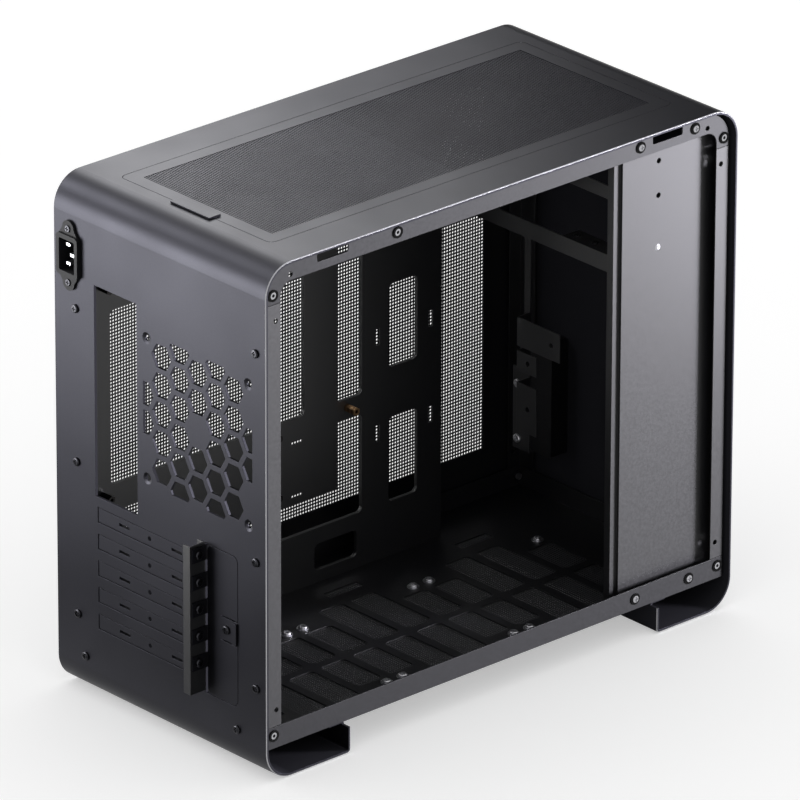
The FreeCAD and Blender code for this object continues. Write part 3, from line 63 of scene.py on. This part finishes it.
# Inputs and output of a mix of two colours go by number, because their names repeat.
FACTOR, COLOUR_A, COLOUR_B, MIXED = 0, 6, 7, 2


def linear(hex_colour):
    """Linear colour with alpha from an sRGB hex value."""
    parts = [int(hex_colour[i:i + 2], 16) / 255 for i in (1, 3, 5)]
    return [c / 12.92 if c <= 0.04045 else ((c + 0.055) / 1.055) ** 2.4 for c in parts] + [1.0]


def add(tree, kind, sockets, **settings):
    """One node with its settings. Sockets gives each input a value or another node's output."""
    node = tree.nodes.new(kind)
    for name, value in settings.items():
        setattr(node, name, value)
    for key, value in sockets.items():
        if isinstance(value, bpy.types.NodeSocket):
            tree.links.new(value, node.inputs[key])
        else:
            node.inputs[key].default_value = value
    return node


def new_material(name):
    """Empty material and its node tree."""
    made = bpy.data.materials.new(name)
    made.use_nodes = True
    made.node_tree.nodes.clear()
    return made, made.node_tree


def dress(finish, *names):
    """Gives CAD nodes a finish."""
    for name in names:
        nodes[name].data.materials.clear()
        nodes[name].data.materials.append(finish)


# Blasting leaves a fine even grit, so light spreads softly, and the dye makes the metal a cool dark grey.
# Only the outside is dyed metal. The inside of the sheet is drawn in a matt non-metal grey, as painted
# light that lifts the shaded inside; the cut edge in the shade of the slot ledge gets the same matt dark,
# as painted shade. The grit is drawn coarser than the real one, so that it shows.
anodised_aluminium, tree = new_material("bead_blasted_anodised_aluminium")
place = add(tree, "ShaderNodeTexCoord", {}).outputs["Object"]
grit = add(tree, "ShaderNodeTexNoise", {
    "Vector": place, "Scale": 1 / (GRIT_MM * MM), "Detail": 2,
}).outputs["Fac"]
cloud = add(tree, "ShaderNodeTexNoise", {"Vector": place, "Scale": 1 / (CLOUD_MM * MM)}).outputs["Fac"]
surface = add(tree, "ShaderNodeNewGeometry", {})
normal = surface.outputs["True Normal"]
position = surface.outputs["Position"]
facing = add(tree, "ShaderNodeSeparateXYZ", {"Vector": normal}).outputs["X"]
slope = add(tree, "ShaderNodeMath", {0: facing}, operation="ABSOLUTE").outputs[0]
chamfer = add(tree, "ShaderNodeMath", {
    0: slope, 1: CHAMFER_SLOPE, 2: CHAMFER_SPAN,
}, operation="COMPARE").outputs[0]
from_centre = add(tree, "ShaderNodeVectorMath", {
    0: position, 1: CASE_CENTRE,
}, operation="SUBTRACT").outputs[0]
outward = add(tree, "ShaderNodeVectorMath", {
    0: from_centre, 1: normal,
}, operation="DOT_PRODUCT").outputs["Value"]
# Faces turned inward take the matt grey below: painted light that lifts the shaded inside of the sheet.
faces_out = add(tree, "ShaderNodeMath", {0: outward, 1: 0.0}, operation="GREATER_THAN").outputs[0]
# The shell's cut edge at the slot ledge's X takes the same matt dark: painted shade from the ledge.
across = add(tree, "ShaderNodeSeparateXYZ", {"Vector": position}).outputs["X"]
at_ledge = add(tree, "ShaderNodeMath", {
    0: across, 1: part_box("slot_ledge")[0].x, 2: CUT_SPAN_MM * MM,
}, operation="COMPARE").outputs[0]
painted_shade_cut = add(tree, "ShaderNodeMath", {0: slope, 1: at_ledge}, operation="MULTIPLY").outputs[0]
outside = add(tree, "ShaderNodeMath", {
    0: faces_out, 1: painted_shade_cut,
}, operation="SUBTRACT", use_clamp=True).outputs[0]
dye = add(tree, "ShaderNodeMix", {
    FACTOR: grit, COLOUR_A: linear(DYE_DARK), COLOUR_B: linear(DYE_PALE),
}, data_type="RGBA").outputs[MIXED]
# Colour A, a matt non-metal grey, is painted light on the inside and painted shade at the ledge cut.
skin = add(tree, "ShaderNodeMix", {
    FACTOR: outside, COLOUR_A: linear("#28282c"), COLOUR_B: dye,
}, data_type="RGBA").outputs[MIXED]
colour = add(tree, "ShaderNodeMix", {
    FACTOR: chamfer, COLOUR_A: skin, COLOUR_B: linear("#a4a4a7"),
}, data_type="RGBA").outputs[MIXED]
sheen = add(tree, "ShaderNodeMapRange", {
    "Value": cloud, "From Min": NOISE_LOW, "From Max": NOISE_HIGH, "To Min": 0.42, "To Max": 0.48,
}).outputs[0]
rounded = add(tree, "ShaderNodeBevel", {"Radius": EDGE_MM * MM}, samples=EDGE_SAMPLES).outputs[0]
relief = add(tree, "ShaderNodeBump", {
    "Height": grit, "Normal": rounded, "Strength": 0.08, "Distance": GRIT_DEPTH_MM * MM,
}).outputs[0]
shader = add(tree, "ShaderNodeBsdfPrincipled", {
    "Base Color": colour, "Roughness": sheen, "Normal": relief,
    "Metallic": outside, "Specular IOR Level": outside,
}).outputs[0]
add(tree, "ShaderNodeOutputMaterial", {"Surface": shader})
dress(anodised_aluminium, "outer_shell", "top_filter_frame", "power_button")

# Foot pads: four strips of die-cut rubber, stuck under the soles.
# The rubber is matt black with a dusty, slightly uneven skin.
DUST_MM = 1.5
DUST_DEPTH_MM = 0.1
rubber, tree = new_material("die_cut_rubber")
place = add(tree, "ShaderNodeTexCoord", {}).outputs["Object"]
dust = add(tree, "ShaderNodeTexNoise", {
    "Vector": place, "Scale": 1 / (DUST_MM * MM), "Detail": 3,
}).outputs["Fac"]
colour = add(tree, "ShaderNodeMix", {
    FACTOR: dust, COLOUR_A: linear("#151516"), COLOUR_B: linear("#262628"),
}, data_type="RGBA").outputs[MIXED]
relief = add(tree, "ShaderNodeBump", {
    "Height": dust, "Strength": 0.2, "Distance": DUST_DEPTH_MM * MM,
}).outputs[0]
shader = add(tree, "ShaderNodeBsdfPrincipled", {
    "Base Color": colour, "Roughness": 0.85, "Normal": relief, "IOR": 1.52,
}).outputs[0]
add(tree, "ShaderNodeOutputMaterial", {"Surface": shader})
dress(rubber, "foot_pads")

# Frame: rolled steel sheet, punched and folded into a roof frame, a floor and four uprights, then screwed
# together. Tray, covers, bars and brackets are made of the same sheet. All of it is powder coated black.
PEEL_MM = 2.2
PEEL_DEPTH_MM = 0.05


def powder_coat(name, gloss, dark, pale):
    """Skin of melted powder: black, with a slight orange peel that softens its reflections."""
    made, tree = new_material(name)
    place = add(tree, "ShaderNodeTexCoord", {}).outputs["Object"]
    peel = add(tree, "ShaderNodeTexNoise", {
        "Vector": place, "Scale": 1 / (PEEL_MM * MM), "Detail": 3,
    }).outputs["Fac"]
    colour = add(tree, "ShaderNodeMix", {
        FACTOR: peel, COLOUR_A: linear(dark), COLOUR_B: linear(pale),
    }, data_type="RGBA").outputs[MIXED]
    sheen = add(tree, "ShaderNodeMapRange", {
        "Value": peel, "From Min": NOISE_LOW, "From Max": NOISE_HIGH, "To Min": 0.36, "To Max": 0.42,
    }).outputs[0]
    rounded = add(tree, "ShaderNodeBevel", {"Radius": EDGE_MM * MM}, samples=EDGE_SAMPLES).outputs[0]
    relief = add(tree, "ShaderNodeBump", {
        "Height": peel, "Normal": rounded, "Strength": 0.04, "Distance": PEEL_DEPTH_MM * MM,
    }).outputs[0]
    shader = add(tree, "ShaderNodeBsdfPrincipled", {
        "Base Color": colour, "Roughness": sheen, "Normal": relief, "IOR": 1.5, "Specular IOR Level": gloss,
    }).outputs[0]
    add(tree, "ShaderNodeOutputMaterial", {"Surface": shader})
    return made


satin_coat = powder_coat("satin_black_powder_coat", 0.58, "#0f0f11", "#161618")
dress(
    satin_coat, "rear_left_upright", "rear_right_upright", "front_left_upright", "front_right_upright",
    "motherboard_tray", "cover_strap", "front_cover", "psu_bar_lower", "psu_bar_upper", "psu_hanger",
    "psu_bracket",
)
# Roof frame and floor have a duller coat, as the side panel has.
dull_coat = powder_coat("dull_black_powder_coat", 0.32, "#141416", "#1b1b1e")
dress(dull_coat, "top_frame", "bottom_frame")

# Standoffs: hexagonal brass posts, turned on a lathe and pressed into the tray.
# Brass shows warm yellow with turning marks, drawn coarser than the real ones, so that they show.
# Only the front row shows brass: the others are drawn near black.
TURNING_MM = 3.77
WAVE_RADIANS = 20
ROW_SPAN_MM = 10.0
brass, tree = new_material("turned_brass")
place = add(tree, "ShaderNodeTexCoord", {}).outputs["Object"]
rings = add(tree, "ShaderNodeTexWave", {
    "Vector": place, "Scale": math.tau / (WAVE_RADIANS * TURNING_MM * MM), "Distortion": 1.0,
}, bands_direction="X").outputs["Fac"]
turned = add(tree, "ShaderNodeMix", {
    FACTOR: rings, COLOUR_A: linear("#7d6248"), COLOUR_B: linear("#a5835f"),
}, data_type="RGBA").outputs[MIXED]
along = add(tree, "ShaderNodeSeparateXYZ", {"Vector": place}).outputs["Y"]
front_row = add(tree, "ShaderNodeMath", {
    0: along, 1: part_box("standoffs")[0].y, 2: ROW_SPAN_MM * MM,
}, operation="COMPARE").outputs[0]
# Standoffs outside the front row get a near-black colour instead of brass.
colour = add(tree, "ShaderNodeMix", {
    FACTOR: front_row, COLOUR_A: linear("#1c1b1a"), COLOUR_B: turned,
}, data_type="RGBA").outputs[MIXED]
shader = add(tree, "ShaderNodeBsdfPrincipled", {
    "Base Color": colour, "Roughness": 0.3, "Metallic": 1.0,
}).outputs[0]
add(tree, "ShaderNodeOutputMaterial", {"Surface": shader})
dress(brass, "standoffs")

# Expansion slots: five punched covers on a folded ledge outside the rear wall, and an access cover beside
# them. The covers are steel with the shell's dark grey, a fine even grit that hardly stands out from the
# wall. The ledge is satin black.
SLOT_COVERS = tuple(f"slot_cover_{index}" for index in range(1, 6))
painted_steel, tree = new_material("dark_grey_painted_steel")
place = add(tree, "ShaderNodeTexCoord", {}).outputs["Object"]
grit = add(tree, "ShaderNodeTexNoise", {
    "Vector": place, "Scale": 1 / (GRIT_MM * MM), "Detail": 2,
}).outputs["Fac"]
colour = add(tree, "ShaderNodeMix", {
    FACTOR: grit, COLOUR_A: linear(DYE_DARK), COLOUR_B: linear(DYE_PALE),
}, data_type="RGBA").outputs[MIXED]
rounded = add(tree, "ShaderNodeBevel", {"Radius": EDGE_MM * MM}, samples=EDGE_SAMPLES).outputs[0]
relief = add(tree, "ShaderNodeBump", {
    "Height": grit, "Normal": rounded, "Strength": 0.08, "Distance": GRIT_DEPTH_MM * MM,
}).outputs[0]
shader = add(tree, "ShaderNodeBsdfPrincipled", {
    "Base Color": colour, "Roughness": 0.45, "Normal": relief, "Metallic": 1.0,
}).outputs[0]
add(tree, "ShaderNodeOutputMaterial", {"Surface": shader})
dress(satin_coat, "slot_ledge")
dress(painted_steel, "slot_access_cover", *SLOT_COVERS)

# Black screws: cross-head steel screws with a black oxide skin, in the rear wall, the slots, the inlet and
# a bar. The oxide is thin, so the heads stay glossy at their round edges.
BLOOM_MM = 2.0
black_oxide, tree = new_material("black_oxide_steel")
place = add(tree, "ShaderNodeTexCoord", {}).outputs["Object"]
bloom = add(tree, "ShaderNodeTexNoise", {
    "Vector": place, "Scale": 1 / (BLOOM_MM * MM), "Detail": 3,
}).outputs["Fac"]
colour = add(tree, "ShaderNodeMix", {
    FACTOR: bloom, COLOUR_A: linear("#2a2a2d"), COLOUR_B: linear("#3a3a3e"),
}, data_type="RGBA").outputs[MIXED]
shader = add(tree, "ShaderNodeBsdfPrincipled", {
    "Base Color": colour, "Roughness": 0.3, "Metallic": 1.0,
}).outputs[0]
add(tree, "ShaderNodeOutputMaterial", {"Surface": shader})
dress(black_oxide, "rear_screws", "slot_screws", "access_cover_screw", "inlet_screws", "psu_bar_screws")

# Bright screws, washers, snap cups, studs, rivet and connector shells: zinc- or nickel-plated steel.
# The plating is pale and mirror-like with a slight haze.
HAZE_MM = 1.2
bright_zinc, tree = new_material("bright_zinc_plated_steel")
place = add(tree, "ShaderNodeTexCoord", {}).outputs["Object"]
haze = add(tree, "ShaderNodeTexNoise", {
    "Vector": place, "Scale": 1 / (HAZE_MM * MM), "Detail": 3,
}).outputs["Fac"]
sheen = add(tree, "ShaderNodeMapRange", {
    "Value": haze, "From Min": NOISE_LOW, "From Max": NOISE_HIGH, "To Min": 0.28, "To Max": 0.4,
}).outputs[0]
colour = add(tree, "ShaderNodeMix", {
    FACTOR: haze, COLOUR_A: linear("#acacb0"), COLOUR_B: linear("#c8c8cc"),
}, data_type="RGBA").outputs[MIXED]
shader = add(tree, "ShaderNodeBsdfPrincipled", {
    "Base Color": colour, "Roughness": sheen, "Metallic": 1.0,
}).outputs[0]
add(tree, "ShaderNodeOutputMaterial", {"Surface": shader})
dress(
    bright_zinc, "frame_screws", "floor_screws", "floor_washers", "snap_cups", "panel_studs", "cover_rivet",
    "inlet_pins", "usb_a_port", "usb_c_port", "psu_bracket_screws",
)

# Moulded pieces: snap rings, frame washers, power inlet, front controls and their switch, in black nylon.
# The mould is spark eroded, which leaves a very fine matt grain.
GRAIN_MM = 0.5
GRAIN_DEPTH_MM = 0.05
nylon, tree = new_material("moulded_black_nylon")
place = add(tree, "ShaderNodeTexCoord", {}).outputs["Object"]
grain = add(tree, "ShaderNodeTexNoise", {
    "Vector": place, "Scale": 1 / (GRAIN_MM * MM), "Detail": 2,
}).outputs["Fac"]
colour = add(tree, "ShaderNodeMix", {
    FACTOR: grain, COLOUR_A: linear("#0b0b0d"), COLOUR_B: linear("#131316"),
}, data_type="RGBA").outputs[MIXED]
relief = add(tree, "ShaderNodeBump", {
    "Height": grain, "Strength": 0.15, "Distance": GRAIN_DEPTH_MM * MM,
}).outputs[0]
shader = add(tree, "ShaderNodeBsdfPrincipled", {
    "Base Color": colour, "Roughness": 0.6, "Normal": relief, "IOR": 1.53, "Specular IOR Level": 0.15,
}).outputs[0]
add(tree, "ShaderNodeOutputMaterial", {"Surface": shader})
dress(nylon, "snap_rings", "frame_washers", "power_inlet", "front_io_module", "button_switch", "audio_jack")

# Dust meshes: a grey metal one in the top filter and a black nylon one under the floor.
# Each is a cloth of straight wires in two layers, clamped round its rim.
# The real cloths are finer: they are drawn coarser, so that the wires show at this distance.
TOP_MESH_PITCH_MM = 2.0
TOP_MESH_WIRE_MM = 1.0
FLOOR_MESH_PITCH_MM = 2.2
FLOOR_MESH_WIRE_MM = 1.5
LAYER_SHARE = 0.6
LINT_MM = 6.0


def wire_cloth(name, low, high, pitch, wire):
    """Mesh cloth of flat wires along X and Y, in two layers that fill a box."""
    height = (high.z - low.z) * LAYER_SHARE
    corners = np.array([(x, y, z) for z in (0, 1) for y in (0, 1) for x in (0, 1)], float)
    sides = np.array([(0, 2, 3, 1), (4, 5, 7, 6), (0, 1, 5, 4), (2, 6, 7, 3), (0, 4, 6, 2), (1, 3, 7, 5)])
    points, faces = [], []
    for along in (0, 1):
        across = 1 - along
        count = int((high[across] - low[across]) / pitch)
        start = (low[across] + high[across] - (count - 1) * pitch) / 2
        for step in range(count):
            size = np.array([0.0, 0.0, height])
            size[along] = high[along] - low[along]
            size[across] = wire
            corner = np.array([0.0, 0.0, low.z if along else high.z - height])
            corner[along] = low[along]
            corner[across] = start + step * pitch - wire / 2
            faces.append(sides + len(corners) * len(points))
            points.append(corner + corners * size)
    mesh = bpy.data.meshes.new(name)
    mesh.from_pydata(np.concatenate(points).tolist(), [], np.concatenate(faces).tolist())
    cloth = bpy.data.objects.new(name, mesh)
    bpy.context.scene.collection.objects.link(cloth)
    return cloth


top_cloth = wire_cloth(
    "top_mesh_cloth", *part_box("top_filter_mesh"), TOP_MESH_PITCH_MM * MM, TOP_MESH_WIRE_MM * MM,
)
top_cloth.data.materials.append(anodised_aluminium)
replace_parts(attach(top_cloth, "top_filter"), "top_filter_mesh")
floor_cloth = wire_cloth(
    "floor_mesh_cloth", *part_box("bottom_filter_mesh"), FLOOR_MESH_PITCH_MM * MM, FLOOR_MESH_WIRE_MM * MM,
)
# Drawn nylon thread is smooth and dark grey, with lint that lifts its tone in places.
thread, tree = new_material("drawn_nylon_thread")
place = add(tree, "ShaderNodeTexCoord", {}).outputs["Object"]
lint = add(tree, "ShaderNodeTexNoise", {
    "Vector": place, "Scale": 1 / (LINT_MM * MM), "Detail": 3,
}).outputs["Fac"]
colour = add(tree, "ShaderNodeMix", {
    FACTOR: lint, COLOUR_A: linear("#1e1e21"), COLOUR_B: linear("#29292c"),
}, data_type="RGBA").outputs[MIXED]
shader = add(tree, "ShaderNodeBsdfPrincipled", {
    "Base Color": colour, "Roughness": 0.5, "IOR": 1.53,
}).outputs[0]
add(tree, "ShaderNodeOutputMaterial", {"Surface": shader})
floor_cloth.data.materials.append(thread)
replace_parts(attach(floor_cloth, "case"), "bottom_filter_mesh")

# Right side panel: a shallow steel pan with a folded rim, and round holes punched in a square grid.
# It snaps on with studs, and has the dull black coat.
# The punched field is a thinner sheet, close to flush with the outside of the pan.
HOLE_PITCH_MM = 2.59
HOLE_MM = 1.75
HOLE_SIDES = 8
HOLE_COLUMNS = 140
HOLE_ROWS = 110
BANDS = 5
PAN_T_MM = 1.0
FIELD_T_MM = 0.5
FIELD_SUNK_MM = 0.05
PAN_TOP_R_MM = 21.0
PAN_FOOT_R_MM = 4.0
PAN_EASE_MM = 0.15
ARC_STEPS = 12
# Turns a drawing in X and Y to stand in Y and Z.
UPRIGHT = Matrix(((0, 0, 1, 0), (1, 0, 0, 0), (0, 1, 0, 0), (0, 0, 0, 1)))


def rounded_outline(low, high, foot_r, top_r):
    """Points of an upright rectangle with round corners, from the foot at the far end and round."""
    centres = [
        (high[0] - foot_r, low[1] + foot_r, foot_r, -90), (high[0] - top_r, high[1] - top_r, top_r, 0),
        (low[0] + top_r, high[1] - top_r, top_r, 90), (low[0] + foot_r, low[1] + foot_r, foot_r, 180),
    ]
    points = []
    for y, z, radius, turn in centres:
        for step in range(ARC_STEPS + 1):
            angle = math.radians(turn + 90 * step / ARC_STEPS)
            points.append((y + radius * math.cos(angle), z + radius * math.sin(angle)))
    return points


def sheet_metal(name, outlines, thickness, x):
    """Flat sheet in the plane of the case's side, from outlines in Y and Z, with eased edges."""
    drawing = bpy.data.curves.new(name, "CURVE")
    drawing.dimensions = "2D"
    drawing.fill_mode = "BOTH"
    drawing.extrude = thickness / 2 - PAN_EASE_MM * MM
    drawing.bevel_depth = PAN_EASE_MM * MM
    drawing.offset = -PAN_EASE_MM * MM
    for outline in outlines:
        spline = drawing.splines.new("POLY")
        spline.points.add(len(outline) - 1)
        spline.use_cyclic_u = True
        for point, (y, z) in zip(spline.points, outline):
            point.co = (y, z, 0, 1)
    drawn = bpy.data.objects.new(name, drawing)
    mesh = bpy.data.meshes.new_from_object(drawn)
    bpy.data.objects.remove(drawn)
    mesh.transform(Matrix.Translation((x, 0, 0)) @ UPRIGHT)
    piece = bpy.data.objects.new(name, mesh)
    bpy.context.scene.collection.objects.link(piece)
    return piece


def punched_cell(name, pitch, hole, thickness):
    """One square of the punched field in Y and Z, with its hole and both faces."""
    corners = [(pitch / 2 * a, pitch / 2 * b) for a, b in ((1, 1), (-1, 1), (-1, -1), (1, -1))]
    angles = [math.tau * (k + 0.5) / HOLE_SIDES for k in range(HOLE_SIDES)]
    flat = corners + [(hole / 2 * math.cos(angle), hole / 2 * math.sin(angle)) for angle in angles]
    count = len(flat)
    points = [(x, y, z) for x in (thickness / 2, -thickness / 2) for y, z in flat]
    ring = [len(corners) + k for k in range(HOLE_SIDES)]
    faces = []
    for corner in range(len(corners)):
        before, after, following = [ring[(2 * corner + k) % HOLE_SIDES] for k in range(3)]
        outer = [(corner, after, before), (corner, (corner + 1) % len(corners), following, after)]
        faces += outer + [tuple(count + index for index in reversed(face)) for face in outer]
    for k in range(HOLE_SIDES):
        a, b = ring[k], ring[(k + 1) % HOLE_SIDES]
        faces.append((a, b, b + count, a + count))
    mesh = bpy.data.meshes.new(name)
    mesh.from_pydata(points, [], faces)
    return mesh


low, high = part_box("right_side_panel")
pitch = HOLE_PITCH_MM * MM
field_y = (low.y + high.y - HOLE_COLUMNS * pitch) / 2
field_z = (low.z + high.z - HOLE_ROWS * pitch) / 2
field_end_y = field_y + HOLE_COLUMNS * pitch
field_end_z = field_z + HOLE_ROWS * pitch
field = [(field_y, field_z), (field_y, field_end_z), (field_end_y, field_end_z), (field_end_y, field_z)]
pan_outside = rounded_outline((low.y, low.z), (high.y, high.z), PAN_FOOT_R_MM * MM, PAN_TOP_R_MM * MM)
inset = PAN_T_MM * MM
pan_inside = rounded_outline(
    (low.y + inset, low.z + inset), (high.y - inset, high.z - inset),
    PAN_FOOT_R_MM * MM - inset, PAN_TOP_R_MM * MM - inset,
)
panel_face = sheet_metal("side_panel_face", [pan_outside, field], inset, high.x - inset / 2)
panel_rim = sheet_metal(
    "side_panel_rim", [pan_outside, pan_inside[::-1]], high.x - inset - low.x, (low.x + high.x - inset) / 2,
)
panel_pieces = [panel_face, panel_rim]
cell = punched_cell("punched_cell", pitch, HOLE_MM * MM, FIELD_T_MM * MM)
for band in range(BANDS):
    punched = bpy.data.objects.new(f"side_panel_punched_band_{band + 1}", cell.copy())
    bpy.context.scene.collection.objects.link(punched)
    punched.location = (
        high.x - FIELD_T_MM * MM / 2 - FIELD_SUNK_MM * MM,
        field_y + pitch / 2,
        field_z + pitch * (band * HOLE_ROWS / BANDS + 0.5),
    )
    for name, axis, count in (("columns", 1, HOLE_COLUMNS), ("rows", 2, HOLE_ROWS // BANDS)):
        repeat = punched.modifiers.new(name, "ARRAY")
        repeat.use_relative_offset = False
        repeat.use_constant_offset = True
        repeat.count = count
        repeat.constant_offset_displace = [pitch if axis == index else 0 for index in range(3)]
    panel_pieces.append(punched)
for piece in panel_pieces:
    piece.data.materials.append(dull_coat)
    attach(piece, "side_panel")
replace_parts(panel_face, "right_side_panel")

# Stage: a wide floor of pale matt paint, which takes a soft shadow and has no gloss, in a white surround.
# What the camera, the metal and the gloss see of floor and surround is lifted to white.
FLOOR_SIZE = 60.0
AMBIENT = 0.75
FLOOR_GLOW = 0.42


def looked_at(tree):
    """Output that is 1 for the rays of the camera, of reflections and of glass, and 0 for the rest."""
    path = add(tree, "ShaderNodeLightPath", {})
    seen = path.outputs["Is Camera Ray"]
    for ray in ("Is Glossy Ray", "Is Transmission Ray"):
        seen = add(tree, "ShaderNodeMath", {0: seen, 1: path.outputs[ray]}, operation="MAXIMUM").outputs[0]
    return seen


pale_floor, tree = new_material("pale_matt_floor")
glow = add(tree, "ShaderNodeMath", {0: looked_at(tree), 1: FLOOR_GLOW}, operation="MULTIPLY").outputs[0]
matt = add(tree, "ShaderNodeBsdfDiffuse", {"Color": linear("#e6e6e6")}).outputs[0]
white = add(tree, "ShaderNodeEmission", {"Color": linear("#ffffff"), "Strength": glow}).outputs[0]
both = add(tree, "ShaderNodeAddShader", {0: matt, 1: white}).outputs[0]
add(tree, "ShaderNodeOutputMaterial", {"Surface": both})
floor_sheet = bpy.data.meshes.new("studio_floor")
reach = FLOOR_SIZE / 2
floor_sheet.from_pydata(
    [(-reach, -reach, 0), (reach, -reach, 0), (reach, reach, 0), (-reach, reach, 0)], [], [(0, 1, 2, 3)],
)
floor = bpy.data.objects.new("studio_floor", floor_sheet)
floor.data.materials.append(pale_floor)
bpy.context.scene.collection.objects.link(floor)

world = bpy.data.worlds.new("white_surround")
world.use_nodes = True
tree = world.node_tree
tree.nodes.clear()
level = add(tree, "ShaderNodeMapRange", {
    "Value": looked_at(tree), "To Min": AMBIENT, "To Max": 1.0,
}).outputs[0]
surround = add(tree, "ShaderNodeBackground", {"Color": linear("#ffffff"), "Strength": level}).outputs[0]
add(tree, "ShaderNodeOutputWorld", {"Surface": surround})
bpy.context.scene.world = world

# Lamps: softboxes with grids, set close as in a studio: over the roof, behind on the right and on the open
# side, where they have a cool gel. Flags keep them off the floor, and keep the two on the open side off
# the pieces that lie in shade there.
GRID_DEG = 90.0
COOL_GEL = linear("#f7f5ff")[:3]
# Name, place, aim, width and height in metres, and watts.
SOFTBOXES = (
    ("softbox_over_roof", (0.70, -0.40, 0.90), (0.0, 0.15, 0.385), 0.50, 0.50, 1.0),
    ("strip_over_roof", (0.41, -0.07, 0.63), (0.0, 0.15, 0.385), 0.30, 0.30, 0.2),
    ("softbox_rear_right", (0.48, 0.73, 0.26), (0.0, 0.22, 0.30), 0.44, 0.48, 3.2),
    ("strip_over_bend", (0.80, 0.46, 0.90), (0.10, 0.20, 0.37), 0.36, 0.36, 1.8),
    ("softbox_open_side", (-1.70, -2.05, 0.36), (-0.10, 0.0, 0.30), 0.50, 0.66, 56.0),
    ("strip_open_side", (-0.44, -0.66, 0.11), (-0.10, -0.16, 0.22), 0.20, 0.22, 0.42),
)
SHADED_PIECES = (
    "motherboard_tray", "psu_bar_lower", "psu_bar_upper", "psu_hanger", "psu_bracket", "rear_right_upright",
    "frame_screws", "frame_washers", "snap_cups", "snap_rings", "slot_ledge", *SLOT_COVERS,
)


def flagged_off(name, *pieces):
    """Collection of the pieces that a lamp is flagged off from."""
    spared = bpy.data.collections.new(name)
    for piece in pieces:
        spared.objects.link(piece)
    for member in spared.collection_objects:
        member.light_linking.link_state = "EXCLUDE"
    return spared


floor_off = flagged_off("floor_flagged_off", floor)
shaded_nodes = [nodes[name] for name in SHADED_PIECES]
shaded_off = flagged_off("shaded_flagged_off", floor, *panel_pieces, *shaded_nodes)
for name, spot, target, width, height, watts in SOFTBOXES:
    lamp = bpy.data.lights.new(name, "AREA")
    lamp.shape = "RECTANGLE"
    lamp.size = width
    lamp.size_y = height
    lamp.energy = watts
    lamp.spread = math.radians(GRID_DEG)
    softbox = bpy.data.objects.new(name, lamp)
    softbox.location = spot
    softbox.rotation_euler = (Vector(target) - Vector(spot)).to_track_quat("-Z", "Y").to_euler()
    softbox.visible_camera = False
    softbox.light_linking.receiver_collection = floor_off
    if "open_side" in name:
        lamp.color = COOL_GEL
        softbox.light_linking.receiver_collection = shaded_off
    bpy.context.scene.collection.objects.link(softbox)

# Cards: black felt, which swallows nearly all light. One hangs in front, so that the roof fades to dark
# towards the front, and one lies behind the case, so that the rear wall fades to dark towards its foot.
# Only reflections show them.
NAP_MM = 3.33
# Name, place, aim, width and height in metres.
CARDS = (
    ("black_card_over_front", (0.88, -0.80, 0.92), (0.0, 0.0, 0.385), 1.5, 1.1),
    ("black_card_behind", (0.25, 0.46, 0.004), (0.25, 0.46, 1.0), 0.80, 0.40),
)
felt, tree = new_material("black_felt")
place = add(tree, "ShaderNodeTexCoord", {}).outputs["Object"]
nap = add(tree, "ShaderNodeTexNoise", {"Vector": place, "Scale": 1 / (NAP_MM * MM)}).outputs["Fac"]
colour = add(tree, "ShaderNodeMix", {
    FACTOR: nap, COLOUR_A: linear("#0c0c0d"), COLOUR_B: linear("#161617"),
}, data_type="RGBA").outputs[MIXED]
shader = add(tree, "ShaderNodeBsdfDiffuse", {"Color": colour}).outputs[0]
add(tree, "ShaderNodeOutputMaterial", {"Surface": shader})
for name, spot, target, width, height in CARDS:
    corners = [(x * width / 2, y * height / 2, 0) for x, y in ((-1, -1), (1, -1), (1, 1), (-1, 1))]
    card_sheet = bpy.data.meshes.new(name)
    card_sheet.from_pydata(corners, [], [(0, 1, 2, 3)])
    card_sheet.materials.append(felt)
    card = bpy.data.objects.new(name, card_sheet)
    card.location = spot
    card.rotation_euler = (Vector(target) - Vector(spot)).to_track_quat("Z", "Y").to_euler()
    card.visible_camera = False
    card.visible_diffuse = False
    card.visible_shadow = False
    bpy.context.scene.collection.objects.link(card)

# Camera: a long lens, far behind the case on its open side and above its roof.
# From there the rear wall, the roof and the open side all show.
CAMERA_AT = (-5.0993, 4.6147, 3.2260)
CAMERA_TURN = (66.1853, -0.1732, -132.1235)
LENS_MM = 484.76
SENSOR_MM = 36.0
FAR_CLIP = 100.0
camera_data = bpy.data.cameras.new("camera")
camera_data.sensor_width = SENSOR_MM
camera_data.lens = LENS_MM
camera_data.clip_end = FAR_CLIP
camera = bpy.data.objects.new("camera", camera_data)
camera.location = CAMERA_AT
camera.rotation_euler = [math.radians(turn) for turn in CAMERA_TURN]
bpy.context.scene.collection.objects.link(camera)
bpy.context.scene.camera = camera

bpy.context.scene.view_settings.view_transform = "Standard"
bpy.context.view_layer.update()
